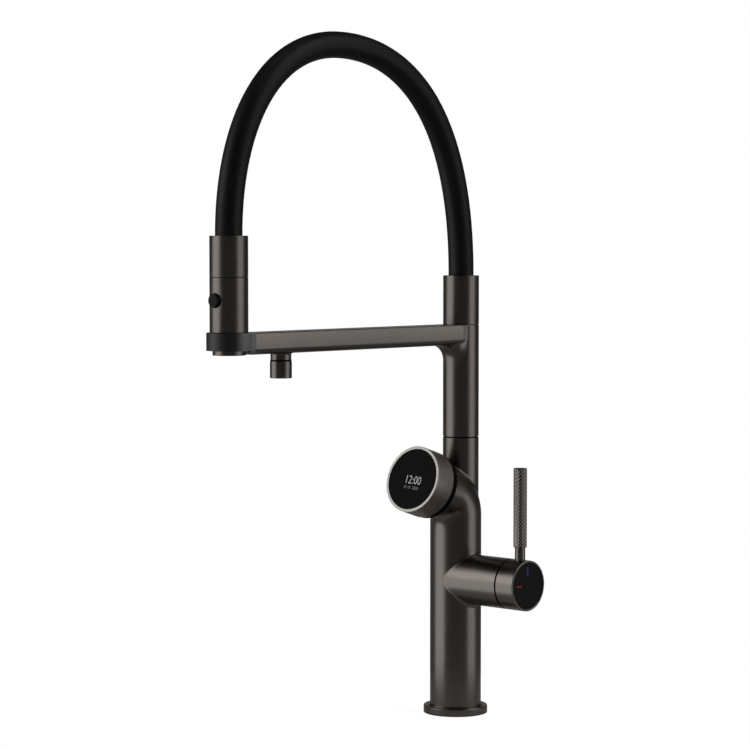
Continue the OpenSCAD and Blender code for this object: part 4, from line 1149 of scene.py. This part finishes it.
# white to the camera; the metal mirrors a soft backdrop and a little light from below the level
def makeWorld():
    world = bpy.data.worlds.new("studio_world")
    scene.world = world
    world.use_nodes = True
    tree = world.node_tree
    tree.nodes.clear()
    out = tree.nodes.new("ShaderNodeOutputWorld")
    shade = tree.nodes.new("ShaderNodeBackground")
    shade.inputs["Color"].default_value = (1, 1, 1, 1)
    link(tree, shade.outputs["Background"], out.inputs["Surface"])
    rays = tree.nodes.new("ShaderNodeLightPath").outputs
    toward = tree.nodes.new("ShaderNodeTexCoord").outputs["Generated"]
    facing = tree.nodes.new("ShaderNodeVectorMath")
    facing.operation = "DOT_PRODUCT"
    behind = math.radians(studio["toCamera"] + 180)
    facing.inputs[1].default_value = (math.cos(behind), math.sin(behind), 0)
    link(tree, toward, facing.inputs[0])
    limit = math.cos(math.radians(studio["backdropHalf"]))
    soft = limit + studio["backdropSoft"]
    backdrop = spanOf(tree, facing.outputs["Value"], 0, studio["backdropMirrored"], limit, soft)
    mirrored = combined(tree, "MAXIMUM", rays["Is Glossy Ray"], rays["Is Transmission Ray"])
    white = combined(tree, "MAXIMUM", rays["Is Camera Ray"], combined(tree, "MULTIPLY", mirrored, backdrop))
    fill, below = studio["fill"], studio["fill"] + studio["below"]
    level = spanOf(tree, onAxis(tree, toward, "Z"), below, fill, -studio["belowTo"], -studio["belowFrom"])
    link(tree, combined(tree, "MAXIMUM", white, level), shade.inputs["Strength"])


def makeFloor():
    deselectAll()
    sides, radius = studio["floorSides"], studio["floorR"]
    bpy.ops.mesh.primitive_circle_add(vertices=sides, radius=radius, fill_type="NGON", location=(0, 0, 0))
    floor = bpy.context.object
    floor.name = "floor"
    material, tree, shader = newMaterial("pale_floor")
    shader.inputs["Base Color"].default_value = (*[studio["floorBase"]] * 3, 1)
    shader.inputs["Roughness"].default_value = studio["floorRough"]
    shader.inputs["Specular IOR Level"].default_value = 0.0
    rays = tree.nodes.new("ShaderNodeLightPath").outputs
    mirrored = combined(tree, "MAXIMUM", rays["Is Glossy Ray"], rays["Is Transmission Ray"])
    seen = spanOf(tree, rays["Is Camera Ray"], 0, studio["floorSeen"], 0, 1)
    glow = tree.nodes.new("ShaderNodeEmission")
    strength = combined(tree, "MAXIMUM", seen, spanOf(tree, mirrored, 0, studio["floorMirrored"], 0, 1))
    link(tree, strength, glow.inputs["Strength"])
    both = tree.nodes.new("ShaderNodeAddShader")
    link(tree, shader.outputs["BSDF"], both.inputs[0])
    link(tree, glow.outputs["Emission"], both.inputs[1])
    link(tree, both.outputs["Shader"], tree.nodes["Material Output"].inputs["Surface"])
    dress(floor, material)


def makeCamera():
    s = photoCamera
    lens = bpy.data.cameras.new("photo_camera")
    lens.sensor_width = s["sensor"]
    lens.lens = s["focalPixels"] / s["framePixels"] * s["sensor"]
    camera = bpy.data.objects.new("photo_camera", lens)
    scene.collection.objects.link(camera)
    camera.location = s["place"]
    look = Vector([part * math.cos(s["down"]) for part in s["heading"]] + [-math.sin(s["down"])])
    camera.rotation_euler = look.to_track_quat("-Z", "Y").to_euler()
    scene.camera = camera


makeLamps()
makeWorld()
makeFloor()
makeCamera()
print("studio done")

# finishes that no piece wears
for material in list(bpy.data.materials):
    if material.users == 0:
        bpy.data.materials.remove(material)
